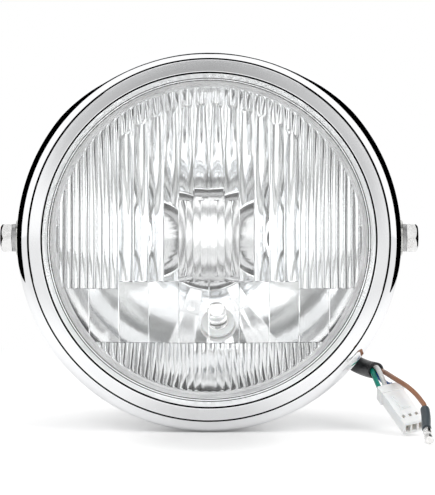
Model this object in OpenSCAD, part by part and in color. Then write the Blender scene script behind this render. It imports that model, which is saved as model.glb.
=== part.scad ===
// Round side-mounted motorcycle headlight: a chromed steel bowl and rim, a fluted glass lens,
// a dished mirror with the main bulb and a small side bulb, and four short leads.
// The lamp looks along -Y and +Z is up. The origin lies midway between the two side bolts.

/* [Rim] */
// Outer radius of the rim
rim_r = 89; // [88.5:0.5:90]
// Where the flat face of the rim stands, in front of the bolt axis
rim_face = 39.9; // [39.5:0.1:40.5]
// Thickness of the pressed sheet
sheet_t = 1; // [0.8:0.1:1.2]

/* [Lens] */
// Outer radius of the glass
lens_r = 79.5; // [79:0.5:80]
// How far the glass bulges ahead of its flange
lens_bulge = 11.4; // [9:0.2:13]
// Thickness of the glass in the dome
glass_t = 3.5; // [3:0.25:4]
// Width of one narrow flute
flute_pitch = 3.45; // [3:0.05:4]

/* [Mirror] */
// Distance from the pole of the mirror to the filament
focal_length = 26; // [25.5:0.5:26]
// How far the pole lies behind the bolt axis
mirror_pole = 21.8; // [21.6:0.1:22]

/* [Bowl] */
// Outer radius of the bowl at the bolts
bowl_r = 84.9; // [84.5:0.1:85.2]
// How far the flat back of the bowl lies behind the bolt axis
bowl_back = 74; // [70:1:78]
// Corner radius of the back
bowl_corner = 60; // [56:1:64]

/* [Side bolts] */
// Half the distance between the two seats for the fork ears
seat_x = 90.5; // [90:0.5:92]
// Thread diameter of the side bolts
bolt_d = 8; // [7.8:0.1:8]
// Width of the bolt head across its flats
bolt_af = 13; // [12:1:14]

/* [Wires] */
// Diameter of each lead
wire_d = 2.3; // [2.1:0.1:2.4]
// Direction in which the leads leave the bowl, below the horizontal
exit_angle = 41.4; // [41.2:0.1:41.6]

/* [Hidden] */
round_fn = 96;

// Depths along the lamp's axis, negative towards the front
flange_front = -32.6;
flange_t = 4;
flange_back = flange_front + flange_t;
gasket_t = 0.6;
mirror_t = 0.8;
mirror_seat = flange_back + gasket_t;
bowl_front = -20;
bowl_side = 14;
rim_back = -12;
screw_y = -3;

// Radii
open_r = 72;
dome_r = 72.8;
lip_r = 73.2;
face_in = 77;
face_out = 83.4;
gasket_in = 74.4;
skirt_in = rim_r - sheet_t;
roll_r = 6.5;
mirror_hole = 20;
filament_y = mirror_pole - focal_length;
dome_sphere = (dome_r * dome_r + lens_bulge * lens_bulge) / (2 * lens_bulge);
dome_centre = flange_front - lens_bulge + dome_sphere;

// The small side bulb sits in a hole of the mirror, square to its surface
side_bulb_r = 42;
side_bulb_turn = 5.6;
side_bulb_y = mirror_pole - side_bulb_r * side_bulb_r / (4 * focal_length);
side_bulb_lean = atan(side_bulb_r / (2 * focal_length));

function arc(cx, cy, r, from, to, n) =
    [for (i = [0:n]) let (a = from + (to - from) * i / n) [cx + r * cos(a), cy + r * sin(a)]];
function mirror_y(r) = mirror_pole - r * r / (4 * focal_length);
function mirror_r(y) = sqrt((mirror_pole - y) * 4 * focal_length);
function bowl_inner(y) = bowl_r - sheet_t - y * bowl_taper;
bowl_taper = 0.065;
bowl_flat = bowl_r - bowl_side * bowl_taper - bowl_corner;

// Turns a profile of [radius, depth] round the lamp's axis
module turned(fn = round_fn) {
    rotate([-90, 0, 0]) rotate([0, 0, -35]) rotate_extrude($fn = fn) children();
}

// The same over an arc, centred on an angle measured up from +X in the front view
module turned_arc(middle, width) {
    rotate([0, -middle, 0]) rotate([-90, 0, 0]) rotate([0, 0, -width / 2])
        rotate_extrude(angle = width, $fn = round_fn) children();
}

// Points local +Z outwards from the lamp's axis, at an angle measured up from +X
module outwards(angle, y) {
    rotate([0, -angle, 0]) translate([0, y, 0]) rotate([0, 90, 0]) children();
}

module ring(outer, inner, h) {
    difference() {
        cylinder(r = outer, h = h, $fn = 48);
        translate([0, 0, -1]) cylinder(r = inner, h = h + 2, $fn = 48);
    }
}

// Turns local +Z to a direction
module aim(from, to) {
    d = to - from;
    translate(from) rotate([0, acos(d.z / norm(d)), atan2(d.y, d.x)]) children();
}

// Bowl: one deep pressing with a rolled front edge
bowl_outer = concat(
    [[bowl_inner(bowl_front), bowl_front], [skirt_in, bowl_front], [skirt_in, bowl_front + 1.4],
     [bowl_inner(bowl_front + 2.4) + sheet_t, bowl_front + 2.4]],
    arc(bowl_flat, bowl_back - bowl_corner, bowl_corner, 0, 90, 12), [[0, bowl_back]]);
bowl_hollow = concat([[0, bowl_back - sheet_t]],
    arc(bowl_flat, bowl_back - bowl_corner, bowl_corner - sheet_t, 90, 0, 12),
    [[bowl_inner(bowl_front), bowl_front]]);

module bowl_solid() {
    turned() polygon(concat(bowl_outer, [[0, bowl_front]]));
}

module bowl_void() {
    turned() polygon(concat(bowl_hollow, [[0, bowl_front]]));
}

module bowl() {
    color("silver") difference() {
        turned() polygon(concat(bowl_outer, bowl_hollow));
        for (side = [0, 180]) outwards(side, 0) cylinder(r = bolt_d / 2 + 0.3, h = 100, $fn = 32);
        for (a = rim_screw_angles) outwards(a, screw_y) cylinder(r = screw_r + 0.3, h = 100, $fn = 32);
        outwards(-exit_angle, exit_y) cylinder(r = grommet_neck, h = 100, $fn = 32);
        outwards(-90, 30) cylinder(r = 2.5, h = 100, $fn = 32);
        turned_arc(90, hook_width + 1.5) polygon([[80, -5.6], [90, -5.6], [90, -3.2], [80, -3.2]]);
    }
}

// Rim: one pressing with a turned-in lip, a flat band between two grooves and a deep skirt
module rim() {
    roll = rim_r - roll_r;
    roll_y = 2 + roll_r - rim_face;
    outer = concat(
        [[lip_r, flange_front], [lip_r + 1.4, flange_front - 2.4], [face_in - 0.7, 0.7 - rim_face],
         [face_in - 0.2, 0.3 - rim_face], [face_in + 0.1, 0.9 - rim_face], [face_in + 0.5, -rim_face]],
        [[face_out - 0.5, 1.5 - rim_face], [face_out - 0.1, 2.4 - rim_face]],
        arc(roll, roll_y, roll_r, -80, 0, 9),
        [[rim_r, rim_back - 5], [rim_r - 0.5, rim_back - 1], [rim_r - 1.4, rim_back]]);
    inner = concat(
        [[rim_r - 1.8, rim_back - 1], [skirt_in, rim_back - 5]],
        arc(roll, roll_y, roll_r - sheet_t, 0, -80, 9),
        [[face_out - 0.2, 3.5 - rim_face], [face_out - 0.8, 2.6 - rim_face],
         [face_in + 0.6, 1.2 - rim_face], [face_in + 0.1, 2 - rim_face], [face_in - 0.4, 1.6 - rim_face],
         [lip_r + 2.2, flange_front - 2.1], [lip_r + 1.1, flange_front]]);
    color("gainsboro") turned() polygon(concat(outer, inner));
}

// The rim hangs on a hook at the top and is held by two screws low on the bowl
rim_screw_angles = [-60, -120];
screw_r = 2.5;
hook_width = 8;
bracket_width = 9;

module rim_tab_profile(back) {
    polygon([[skirt_in, -23.6], [skirt_in, -22.4], [bowl_inner(-22.4), -22.4],
        [bowl_inner(back), back], [bowl_inner(back) - sheet_t, back],
        [bowl_inner(-23.6) - sheet_t, -23.6]]);
}

module rim_hook() {
    color("silver") union() {
        turned_arc(90, hook_width) rim_tab_profile(-3.6);
        turned_arc(90, hook_width) polygon([[bowl_inner(-4) - 0.5, -4.8], [bowl_inner(-4) + 3, -4.8],
            [bowl_inner(-4) + 3, -3.6], [bowl_inner(-4) - 0.5, -3.6]]);
    }
}

module rim_brackets() {
    color("silver") difference() {
        for (a = rim_screw_angles) turned_arc(a, bracket_width) rim_tab_profile(2.5);
        for (a = rim_screw_angles) outwards(a, screw_y) cylinder(r = screw_r + 0.3, h = 100, $fn = 32);
    }
}

module rim_nuts() {
    nut_h = 4;
    color("silver") for (a = rim_screw_angles) difference() {
        outwards(a, screw_y) translate([0, 0, bowl_inner(screw_y) - sheet_t - nut_h])
            cylinder(r = 4.6, h = nut_h + 1, $fn = 6);
        turned() polygon([[bowl_inner(-23.6) - sheet_t, -23.6], [bowl_inner(2.5) - sheet_t, 2.5], [95, 2.5],
            [95, -23.6]]);
        outwards(a, screw_y) cylinder(r = screw_r, h = 100, $fn = 32);
    }
}

module rim_screws() {
    head_h = 3;
    color("silver") for (a = rim_screw_angles) union() {
        outwards(a, screw_y) translate([0, 0, 77]) cylinder(r = screw_r, h = 9, $fn = 32);
        difference() {
            outwards(a, screw_y) translate([0, 0, bowl_inner(screw_y)]) cylinder(r = 4.6, h = 1 + head_h, $fn = 48);
            bowl_solid();
            outwards(a, screw_y) for (turn = [0, 90])
                rotate([0, 0, turn]) translate([-3, -0.5, bowl_inner(screw_y) + 2.6]) cube([6, 1, 3]);
        }
    }
}

// Lens: pressed glass, smooth outside, with upright flutes of three widths inside
flute_depth = 0.55;
wide_flute = 2 * flute_pitch;
wide_depth = 2 * flute_depth;
plain_flute = 4 * flute_pitch;
plain_depth = 0.12;
upper_low = -18.7;
outer_low = -22.1;
outer_x = 12 * flute_pitch + 0.3;
bottom_top = -47.1;
panel_x = 4 * flute_pitch + 0.3;
panel_low = -16.1;
panel_high = 18.4;
main_r = 62;

// Depth of the glass at x, with a rounded flute every pitch
function flute(x, pitch, depth) = let (u = x / pitch - floor(x / pitch)) depth * 4 * u * (1 - u);

// A curved sheet of glass swept round a level line through the dome's centre
module fluted_sheet(pitch, depth, steps, step_back) {
    inside = dome_sphere - glass_t + step_back;
    half = ceil(open_r / pitch) * pitch;
    count = 2 * half / pitch * steps;
    swing = 19;
    translate([0, dome_centre, 0]) rotate([-90, 0, 0]) rotate([0, 90, 0]) rotate([0, 0, -swing])
        rotate_extrude(angle = 2 * swing, $fn = round_fn) polygon(concat(
            [for (i = [0:count]) let (x = -half + i * pitch / steps)
                [sqrt(inside * inside - x * x) - flute(x + 0.0001, pitch, depth), x]],
            [[dome_sphere + 2, half], [dome_sphere + 2, -half]]));
}

module front_prism() {
    rotate([90, 0, 0]) translate([0, 0, 20]) linear_extrude(height = 40) children();
}

module upper_zone() {
    intersection() {
        circle(r = open_r + 0.4, $fn = round_fn);
        union() {
            translate([-outer_x, upper_low]) square([2 * outer_x, 100]);
            for (side = [-1, 1]) translate([side > 0 ? outer_x : -100, outer_low])
                square([100 - outer_x, 100]);
        }
    }
}

module wide_flute_zone() {
    difference() {
        intersection() {
            circle(r = main_r, $fn = round_fn);
            translate([-outer_x, upper_low]) square([2 * outer_x, 100]);
        }
        translate([-panel_x, panel_low]) square([2 * panel_x, panel_high - panel_low]);
    }
}

// Each zone's flutes stand on their own level, so that the zones meet in small steps
module lens() {
    color("lightcyan", 0.5) union() {
        turned() polygon([[open_r, flange_front], [lens_r - 1, flange_front], [lens_r, flange_front + 1],
            [lens_r, flange_back], [open_r, flange_back]]);
        intersection() {
            translate([0, dome_centre, 0]) sphere(r = dome_sphere, $fn = 192);
            union() {
                intersection() {
                    fluted_sheet(wide_flute, wide_depth, 4, 0);
                    front_prism() wide_flute_zone();
                }
                intersection() {
                    fluted_sheet(flute_pitch, flute_depth, 2, 0.23);
                    front_prism() difference() {
                        upper_zone();
                        wide_flute_zone();
                    }
                }
                intersection() {
                    fluted_sheet(plain_flute, plain_depth, 4, 0.37);
                    front_prism() difference() {
                        intersection() {
                            circle(r = open_r + 0.4, $fn = round_fn);
                            translate([-100, bottom_top]) square([200, 60]);
                        }
                        upper_zone();
                    }
                }
                intersection() {
                    fluted_sheet(flute_pitch, flute_depth, 2, 0.23);
                    front_prism() intersection() {
                        circle(r = open_r + 0.4, $fn = round_fn);
                        translate([-100, -100]) square([200, 100 + bottom_top]);
                    }
                }
            }
        }
    }
}

module lens_gasket() {
    color("dimgray") turned() polygon([[gasket_in, flange_back], [lens_r, flange_back],
        [lens_r, flange_front + 1], [lens_r + 1.2, flange_front + 1], [lens_r + 1.2, mirror_seat + mirror_t],
        [lens_r, mirror_seat + mirror_t], [lens_r, mirror_seat], [gasket_in, mirror_seat]]);
}

// Mirror: a bright pressed parabola with a flange, a socket neck and a hole for the side bulb
mirror_edge = mirror_r(mirror_seat);
mirror_face = [for (i = [0:14]) let (r = mirror_hole + (mirror_edge - mirror_hole) * i / 14) [r, mirror_y(r)]];
mirror_back = [for (i = [14:-1:0]) let (r = mirror_hole + (mirror_edge - mirror_hole) * i / 14)
    [r + mirror_t * sin(atan(r / (2 * focal_length))), mirror_y(r) + mirror_t * cos(atan(r / (2 * focal_length)))]];
neck_back = 24;

module side_bulb_place() {
    rotate([0, -side_bulb_turn, 0]) translate([0, side_bulb_y, -side_bulb_r])
        rotate([90 - side_bulb_lean, 0, 0]) children();
}

// The place that a point on the side bulb's own axis takes in the lamp
function side_place_point(p) = let (y = side_bulb_y - p.z * cos(side_bulb_lean),
    z = p.z * sin(side_bulb_lean) - side_bulb_r) [-z * sin(side_bulb_turn), y, z * cos(side_bulb_turn)];

module reflector() {
    color("whitesmoke") difference() {
        turned() polygon(concat(mirror_face, [[lens_r, mirror_seat], [lens_r, mirror_seat + mirror_t]],
            mirror_back, [[mirror_hole + mirror_t, neck_back], [mirror_hole, neck_back]]));
        side_bulb_place() translate([0, 0, -10]) cylinder(r = side_hole, h = 20, $fn = 48);
        for (a = leg_angles) rivet_shank(a);
    }
}

// Everything behind the bright face of the mirror, to seat what stands on it
module behind_mirror() {
    turned() polygon(concat(mirror_face, [[mirror_edge, 60], [mirror_hole, 60]]));
}

module retainer_clips() {
    foot = mirror_seat + mirror_t;
    color("silver") for (a = [45:90:315]) turned_arc(a, 9)
        polygon([[74, foot], [81.6, foot], [82.8, foot + 2.6], [skirt_in, foot + 2.6], [skirt_in, foot + 3.4],
            [82.2, foot + 3.4], [81, foot + 0.8], [74, foot + 0.8]]);
}

// Shield: a bright dished cap that hides the bulb, on two legs riveted to the mirror
shield_r = 24.5;
shield_t = 0.8;
leg_angles = [side_bulb_turn - 110, side_bulb_turn - 70];
leg_width = 13;
foot_t = 0.8;
rivet_r = 34.5;
foot_r = [31, 33, 35, 37.4];

module rivet_place(angle) {
    rotate([0, -90 - angle, 0]) translate([0, mirror_y(rivet_r), -rivet_r])
        rotate([90 - atan(rivet_r / (2 * focal_length)), 0, 0]) children();
}

module rivet_shank(angle) {
    rivet_place(angle) translate([0, 0, -3]) cylinder(r = 1.2, h = 5, $fn = 32);
}

module bulb_shield() {
    color("silver") union() {
        turned() polygon([[0, -25], [9, -24.5], [16, -22.8], [21, -19.6], [23.7, -16], [shield_r, -13],
            [shield_r - shield_t, -13], [23, -15.6], [20.4, -19], [15.6, -22], [8.8, -23.7], [0, -24.2]]);
        difference() {
            for (a = leg_angles) turned_arc(a, leg_width) polygon(concat(
                [[shield_r - shield_t, -14], [shield_r - 0.1, -14], [27.4, -4], [30.2, mirror_y(30.2) - foot_t - 0.1]],
                [for (r = foot_r) [r, mirror_y(r) - foot_t]],
                [for (i = [3:-1:0]) [foot_r[i], mirror_y(foot_r[i]) + 0.4]],
                [[29.2, mirror_y(29.2) + 0.4], [26.6, -4]]));
            behind_mirror();
            for (a = leg_angles) rivet_shank(a);
        }
    }
}

module shield_rivets() {
    color("silver") for (a = leg_angles) union() {
        rivet_shank(a);
        difference() {
            rivet_place(a) translate([0, 0, 0.2]) cylinder(r = 2.1, h = 1.8, $fn = 32);
            turned_arc(a, 40) polygon(concat([for (r = [31, 33, 35, 37.4]) [r, mirror_y(r) - foot_t]],
                [[37.4, 30], [31, 30]]));
        }
        rivet_place(a) translate([0, 0, -3]) cylinder(r = 2, h = 1.6, $fn = 32);
    }
}

// Main bulb: glass envelope, two filaments, a metal base with a locating collar
module main_bulb_glass() {
    envelope = 11.5;
    color("white", 0.4) turned(48) difference() {
        union() {
            translate([0, filament_y]) circle(r = envelope, $fn = 48);
            translate([0, filament_y]) square([8.4, 14 - filament_y]);
        }
        union() {
            translate([0, filament_y]) circle(r = envelope - 0.8, $fn = 48);
            translate([0, filament_y]) square([7.6, 13.2 - filament_y]);
        }
        translate([-100, -100]) square([100, 200]);
    }
}

module bulb_filaments() {
    color("dimgray") union() {
        for (z = [-2.2, 2.2]) {
            translate([-3, filament_y + z, z]) rotate([0, 90, 0]) cylinder(r = 0.7, h = 6, $fn = 24);
            for (x = [-3, 2.4]) translate([x, filament_y + z, z - 0.3])
                cube([0.6, 13 - filament_y - z + 0.2, 0.6]);
        }
        translate([0, 12.2, 0]) rotate([-90, 0, 0]) cylinder(r = 5, h = 1, $fn = 32);
    }
}

module bulb_base() {
    color("gold") difference() {
        union() {
            turned(48) polygon([[0, 14], [8.4, 14], [10, 15], [10, 20], [13.5, 20], [13.5, 21.2], [10, 21.2],
                [10, 29], [0, 29]]);
            turned(48) polygon([[8.4, 11], [9.2, 11], [9.2, 15], [8.4, 15]]);
            for (a = [90, 210, 330]) outwards(a, 26) translate([0, 0, 8]) cylinder(r = 1, h = 3.2, $fn = 24);
        }
    }
}

// Collar, holder and boot behind the mirror
module bulb_collar() {
    color("silver") turned() polygon([[13.6, 20], [13.6, 21.2], [mirror_hole, 21.2], [mirror_hole, 18.6],
        [mirror_hole - 0.8, 18.6], [mirror_hole - 0.8, 20]]);
}

module bulb_holder() {
    color("saddlebrown") difference() {
        turned(48) polygon([[0, 29], [10.1, 29], [10.1, 21.2], [15, 21.2], [15, 33], [12.5, 36], [0, 36]]);
        for (x = [-6, 0, 6]) translate([x - 0.4, 30, -3.2]) cube([0.8, 10, 6.4]);
        for (a = [90, 210, 330]) outwards(a, 26) translate([0, 0, 8]) cylinder(r = 1.05, h = 3.3, $fn = 24);
    }
}

module holder_terminals() {
    color("gold") for (x = [-6, 0, 6]) translate([x - 0.4, 30, -3.2]) cube([0.8, 12, 6.4]);
}

module dust_boot() {
    color("dimgray") turned(64) polygon([[mirror_hole + mirror_t, 19.5], [24, 19.5], [24, 25], [21, 28], [20, 34],
        [15.5, 41], [14, 42], [14.6, 43.5], [8, 49], [7, 50], [7, 56], [4.4, 56], [4.4, 50], [6.5, 48],
        [12.6, 43], [12.4, 41], [18.5, 33.4], [19.4, 27.4], [22.2, 24.6], [22.2, neck_back],
        [mirror_hole + mirror_t, neck_back]]);
}

// Side bulb: a small wedge lamp in a metal socket and a rubber grommet
side_hole = 6.5;

module side_bulb() {
    color("white", 0.4) side_bulb_place() union() {
        rotate_extrude($fn = 48) difference() {
            union() {
                translate([0, 3]) square([4.6, 7.9]);
                translate([0, 10.9]) circle(r = 4.6, $fn = 48);
            }
            translate([-10, 0]) square([10, 30]);
        }
        translate([-4, -1.2, -3]) cube([8, 2.4, 6.5]);
    }
}

module side_bulb_socket() {
    color("silver") side_bulb_place() difference() {
        union() {
            translate([0, 0, -14]) cylinder(r = 4.9, h = 17, $fn = 48);
            translate([0, 0, -16]) cylinder(r = 3, h = 3, $fn = 32);
        }
        translate([-4, -1.2, -3]) cube([8, 2.4, 20]);
    }
}

module side_bulb_grommet() {
    color("ivory") side_bulb_place() difference() {
        union() {
            translate([0, 0, -8]) cylinder(r = side_hole, h = 10.4, $fn = 48);
            translate([0, 0, 0.9]) cylinder(r = 8, h = 2, $fn = 48);
            translate([0, 0, -5]) cylinder(r = 8, h = 2.6, $fn = 48);
        }
        translate([0, 0, -20]) cylinder(r = 4.9, h = 40, $fn = 48);
    }
}

// Side mounts: boss, weld nut, washers and hexagon bolt, the same on both sides
washer_t = 1.6;
spring_washer_t = 2;
head_h = 5.5;
nut_h = 6.5;

module to_side(side) {
    rotate([0, side > 0 ? 90 : -90, 0]) children();
}

module boss(side) {
    color("silver") difference() {
        to_side(side) translate([0, 0, 80]) cylinder(r = 10, h = seat_x - 80, $fn = 64);
        bowl_solid();
        to_side(side) cylinder(r = bolt_d / 2 + 0.3, h = 100, $fn = 32);
    }
}

module weld_nut(side) {
    color("silver") difference() {
        intersection() {
            to_side(side) translate([0, 0, 77]) rotate([0, 0, 30])
                cylinder(r = bolt_af / sqrt(3), h = nut_h + 2, $fn = 6);
            bowl_void();
        }
        to_side(side) translate([0, 0, 60]) cylinder(r = bolt_d / 2, h = 40, $fn = 48);
    }
}

module plain_washer(side) {
    color("silver") to_side(side) translate([0, 0, seat_x]) ring(8.5, bolt_d / 2 + 0.2, washer_t);
}

module spring_washer(side) {
    color("gray") to_side(side) translate([0, 0, seat_x + washer_t]) difference() {
        ring(6.6, bolt_d / 2 + 0.1, spring_washer_t);
        rotate([0, 0, 90]) translate([3, 0, -1]) rotate([20, 0, 0]) cube([5, 0.8, 6]);
    }
}

module hex_bolt(side) {
    head_in = seat_x + washer_t + spring_washer_t;
    corner = bolt_af / sqrt(3);
    color("silver") to_side(side) union() {
        translate([0, 0, 72]) cylinder(r = bolt_d / 2, h = head_in - 72 + 1, $fn = 32);
        translate([0, 0, 71]) cylinder(r1 = bolt_d / 2 - 1, r2 = bolt_d / 2, h = 1, $fn = 32);
        intersection() {
            translate([0, 0, head_in]) rotate([0, 0, 30]) cylinder(r = corner, h = head_h, $fn = 6);
            translate([0, 0, head_in]) rotate_extrude($fn = 64) polygon([[0, 0], [corner + 1, 0],
                [corner + 1, head_h - 2.4], [corner - 1.9, head_h], [0, head_h]]);
        }
    }
}

// Wire exit: a rubber grommet in the bowl and a soft sleeve round the four leads
exit_y = 12;
grommet_neck = 5.5;
sleeve_r = 4;
sleeve_bore = 3.1;
grommet_out = 86;
exit_dir = [cos(exit_angle), 0, -sin(exit_angle)];
exit_point = exit_dir * grommet_out + [0, exit_y, 0];
sleeve_path = [exit_point - 5 * exit_dir, exit_point, exit_point + exit_dir, exit_point + 2 * exit_dir,
    [68.3, 11.2, -59.9], [71.2, 9, -61.5], [73.7, 6.1, -62.5], [75.6, 2.9, -63], [77.1, -0.5, -63.2],
    [78.2, -3, -63.2], [79.5, -6.6, -63.2]];
bend_up = [0.642, 0.235, 0.73];

module wire_grommet() {
    color("dimgray") difference() {
        union() {
            outwards(-exit_angle, exit_y) translate([0, 0, 80.2]) cylinder(r = grommet_neck, h = 5.8, $fn = 48);
            difference() {
                outwards(-exit_angle, exit_y) translate([0, 0, 82]) cylinder(r = 8, h = grommet_out - 82, $fn = 48);
                bowl_solid();
            }
            intersection() {
                outwards(-exit_angle, exit_y) translate([0, 0, 80.2]) cylinder(r = 7.5, h = 6, $fn = 48);
                bowl_void();
            }
        }
        outwards(-exit_angle, exit_y) translate([0, 0, 70]) cylinder(r = sleeve_r, h = 30, $fn = 48);
    }
}

// Sweeps a round tube along the points of a route
function unit(v) = v / norm(v);
function last(list) = len(list) - 1;
function tangent(path, i) = unit(path[min(i + 1, last(path))] - path[max(i - 1, 0)]);
function side_of(t) = unit(cross(t, abs(t.z) > 0.9 ? [0, 1, 0] : [0, 0, 1]));
function ring_at(path, i, r, sides) = let (t = tangent(path, i), n = side_of(t), b = cross(n, t))
    [for (k = [0:sides - 1]) path[i] + r * (cos(360 * k / sides) * n + sin(360 * k / sides) * b)];

module tube(path, r, sides = 8) {
    rings = len(path);
    polyhedron(
        points = [for (i = [0:rings - 1]) each ring_at(path, i, r, sides)],
        faces = concat(
            [[for (k = [0:sides - 1]) k]],
            [for (i = [0:rings - 2], k = [0:sides - 1]) let (a = i * sides, b = (k + 1) % sides)
                each [[a + k, a + sides + k, a + b], [a + b, a + sides + k, a + sides + b]]],
            [[for (k = [sides - 1:-1:0]) (rings - 1) * sides + k]]));
}

// The same with a bore, closed by a flat ring at each end
module hollow_tube(path, r, bore, sides = 16) {
    rings = len(path);
    in = rings * sides;
    polyhedron(
        points = concat([for (i = [0:rings - 1]) each ring_at(path, i, r, sides)],
            [for (i = [0:rings - 1]) each ring_at(path, i, bore, sides)]),
        faces = concat(
            [for (i = [0:rings - 2], k = [0:sides - 1]) let (a = i * sides, b = (k + 1) % sides)
                each [[a + k, a + sides + k, a + b], [a + b, a + sides + k, a + sides + b],
                    [in + a + k, in + a + b, in + a + sides + k],
                    [in + a + b, in + a + sides + b, in + a + sides + k]]],
            [for (k = [0:sides - 1]) let (b = (k + 1) % sides, e = (rings - 1) * sides)
                each [[k, b, in + k], [b, in + b, in + k],
                    [e + k, in + e + k, e + b], [e + b, in + e + k, in + e + b]]]));
}

module wire_sleeve() {
    color("black") hollow_tube(sleeve_path, sleeve_r, sleeve_bore);
}

// Each lead keeps its own place in the sleeve, across and along the bend's own axis
place = 1.25;
function in_sleeve(i, across, up) = let (t = tangent(sleeve_path, i))
    sleeve_path[i] + across * cross(bend_up, t) + up * bend_up;
function lead_in_sleeve(across, up) = [for (i = [1:last(sleeve_path)]) in_sleeve(i, across, up)];

green_free = [[77.9, -10.9, -64.2], [78.4, -15.5, -66]];
white_free = [[79.9, -10.5, -61.7], [80.6, -15, -63.2], [81.8, -19.2, -66.3]];
blue_free = [[80.9, -9.4, -66.2], [83, -13, -68], [85, -17.5, -68.8]];
brown_free = [[82.5, -11.2, -63.1], [83.8, -17, -63.5], [86.3, -25.5, -64.7], [89.2, -33, -66.1],
    [92.2, -40, -67.9], [95, -46, -70.5], [96.7, -52, -72.8]];

module green_wire() {
    color("seagreen") tube(concat(lead_in_sleeve(-place, -place), green_free, plug_entry(-1)), wire_d / 2);
}

module white_wire() {
    color("white") tube(concat(lead_in_sleeve(-place, place), white_free, plug_entry(0)), wire_d / 2);
}

module blue_wire() {
    color("steelblue") tube(concat(lead_in_sleeve(place, -place), blue_free, plug_entry(1)), wire_d / 2);
}

module brown_wire() {
    color("sienna") tube(concat(lead_in_sleeve(place, place), brown_free,
        [bullet_start - 3 * bullet_lead, bullet_start]), wire_d / 2);
}

// Inside the bowl, three leads run side by side from the mouth of the boot to the grommet
bundle_flat = [sin(exit_angle), 0, cos(exit_angle)];
bundle = [for (p = [[0, 52], [0, 56], [0.6, 60], [3.4, 64], [10, 66], [20, 63], [34, 54], [48, 42], [60, 28],
    [68, 18], [74, 13.2], [78, 12.1]]) p[0] * exit_dir + [0, p[1], 0]];

function in_bundle(across, flat) = [for (i = [0:last(bundle)])
    let (t = i == 0 ? [0, 1, 0] : tangent(bundle, i)) bundle[i] + across * cross(bundle_flat, t) + flat * bundle_flat];
function to_exit(across, up) = [in_sleeve(0, across, up), in_sleeve(1, across, up)];
function from_terminal(x) = [[x, 42, 0], [x, 44.5, 0]];
function beside_exit(d, y, flat) = d * exit_dir + [0, y, 0] + flat * bundle_flat;

module inner_green_wire() {
    color("seagreen") tube(concat(from_terminal(0), [[0.3, 48.5, -1.1]], in_bundle(-1.51, -0.92),
        to_exit(-place, -place)), wire_d / 2);
}

module inner_white_wire() {
    color("white") tube(concat(from_terminal(6), [[3.2, 48.5, 0.4]], in_bundle(-0.92, 1.51),
        to_exit(-place, place)), wire_d / 2);
}

module inner_blue_wire() {
    color("steelblue") tube(concat(from_terminal(-6), [[-3.2, 48.5, -0.4]], in_bundle(0.92, -1.51),
        to_exit(place, -place)), wire_d / 2);
}

// The fourth lead comes from the socket of the side bulb
side_tail = side_place_point([0, 0, -16]);
side_tail_dir = unit(side_tail - side_place_point([0, 0, 0]));

module inner_brown_wire() {
    color("sienna") tube(concat([side_tail, side_tail + 3 * side_tail_dir], [beside_exit(50, 27, -32),
        beside_exit(58, 30, -25), beside_exit(65, 28.5, -16), beside_exit(71, 25, -7), beside_exit(75.5, 20, -1),
        beside_exit(77.8, 16, 0.9)], to_exit(place, place)), wire_d / 2);
}

// Plug: a three-way nylon housing with crimped terminals
plug_back = [83.7, -25, -70.4];
plug_front = [93.8, -48.5, -84.6];
plug_turn = 12;
plug_l = norm(plug_front - plug_back);
plug_w = 10.6;
plug_t = 6.2;
plug_pitch = 3.2;
cell_w = 2.4;
cell_t = 3.6;
plug_dir = unit(plug_front - plug_back);
plug_level = unit(cross([0, 0, 1], plug_dir));
plug_wide = cos(plug_turn) * plug_level - sin(plug_turn) * cross(plug_level, plug_dir);

function plug_entry(place) = [plug_back + place * plug_pitch * plug_wide - 3 * plug_dir,
    plug_back + place * plug_pitch * plug_wide];

module plug_place() {
    aim(plug_back, plug_front) rotate([0, 0, plug_turn]) children();
}

module plug_housing() {
    color("ivory") plug_place() difference() {
        union() {
            translate([-plug_t / 2, -plug_w / 2, 0]) cube([plug_t, plug_w, plug_l]);
            translate([-plug_t / 2 - 0.5, -plug_w / 2 - 0.5, 0]) cube([plug_t + 1, plug_w + 1, 5]);
            translate([-plug_t / 2 - 1.2, -2.2, 9]) cube([1.6, 4.4, 10]);
        }
        for (y = [-plug_pitch, 0, plug_pitch]) {
            translate([-cell_t / 2, y - cell_w / 2, 4]) cube([cell_t, cell_w, plug_l]);
            translate([-plug_t / 2 - 1, y - 0.7, plug_l - 6.5]) cube([3, 1.4, 2]);
        }
    }
}

module plug_terminals() {
    color("gold") plug_place() for (y = [-plug_pitch, 0, plug_pitch]) difference() {
        translate([-1.2, y - cell_w / 2, 4]) cube([2.4, cell_w, plug_l - 7]);
        translate([-0.5, y - cell_w / 2 + 0.5, plug_l - 14]) cube([1, cell_w - 1, 20]);
    }
}

// Bullet: a soft insulating sleeve on the brown lead and a round push-in terminal
bullet_start = [97.4, -57, -75.3];
bullet_lead = unit([0.1, -4.6, -2.7]);
sleeve_end = [97, -69.6, -82.8];
bullet_tip = [97, -80.6, -86.7];
bullet_dir = unit(bullet_tip - sleeve_end);
bullet_r = 1.95;

module bullet_sleeve() {
    color("darkslategray") tube([bullet_start, bullet_start + 4 * bullet_lead, [97.3, -63.8, -79.9],
        sleeve_end - 3 * bullet_dir, sleeve_end], 2.1, 16);
}

module bullet_terminal() {
    length = norm(bullet_tip - sleeve_end);
    color("gold") aim(sleeve_end, bullet_tip) rotate_extrude($fn = 48)
        polygon([[0, 0], [1.3, 0], [1.3, 1.4], [bullet_r, 1.8], [bullet_r, 6.4], [1.5, 7], [1.5, 7.8],
            [bullet_r, 8.4], [bullet_r, length - 1], [bullet_r - 0.8, length], [0, length]]);
}

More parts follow.
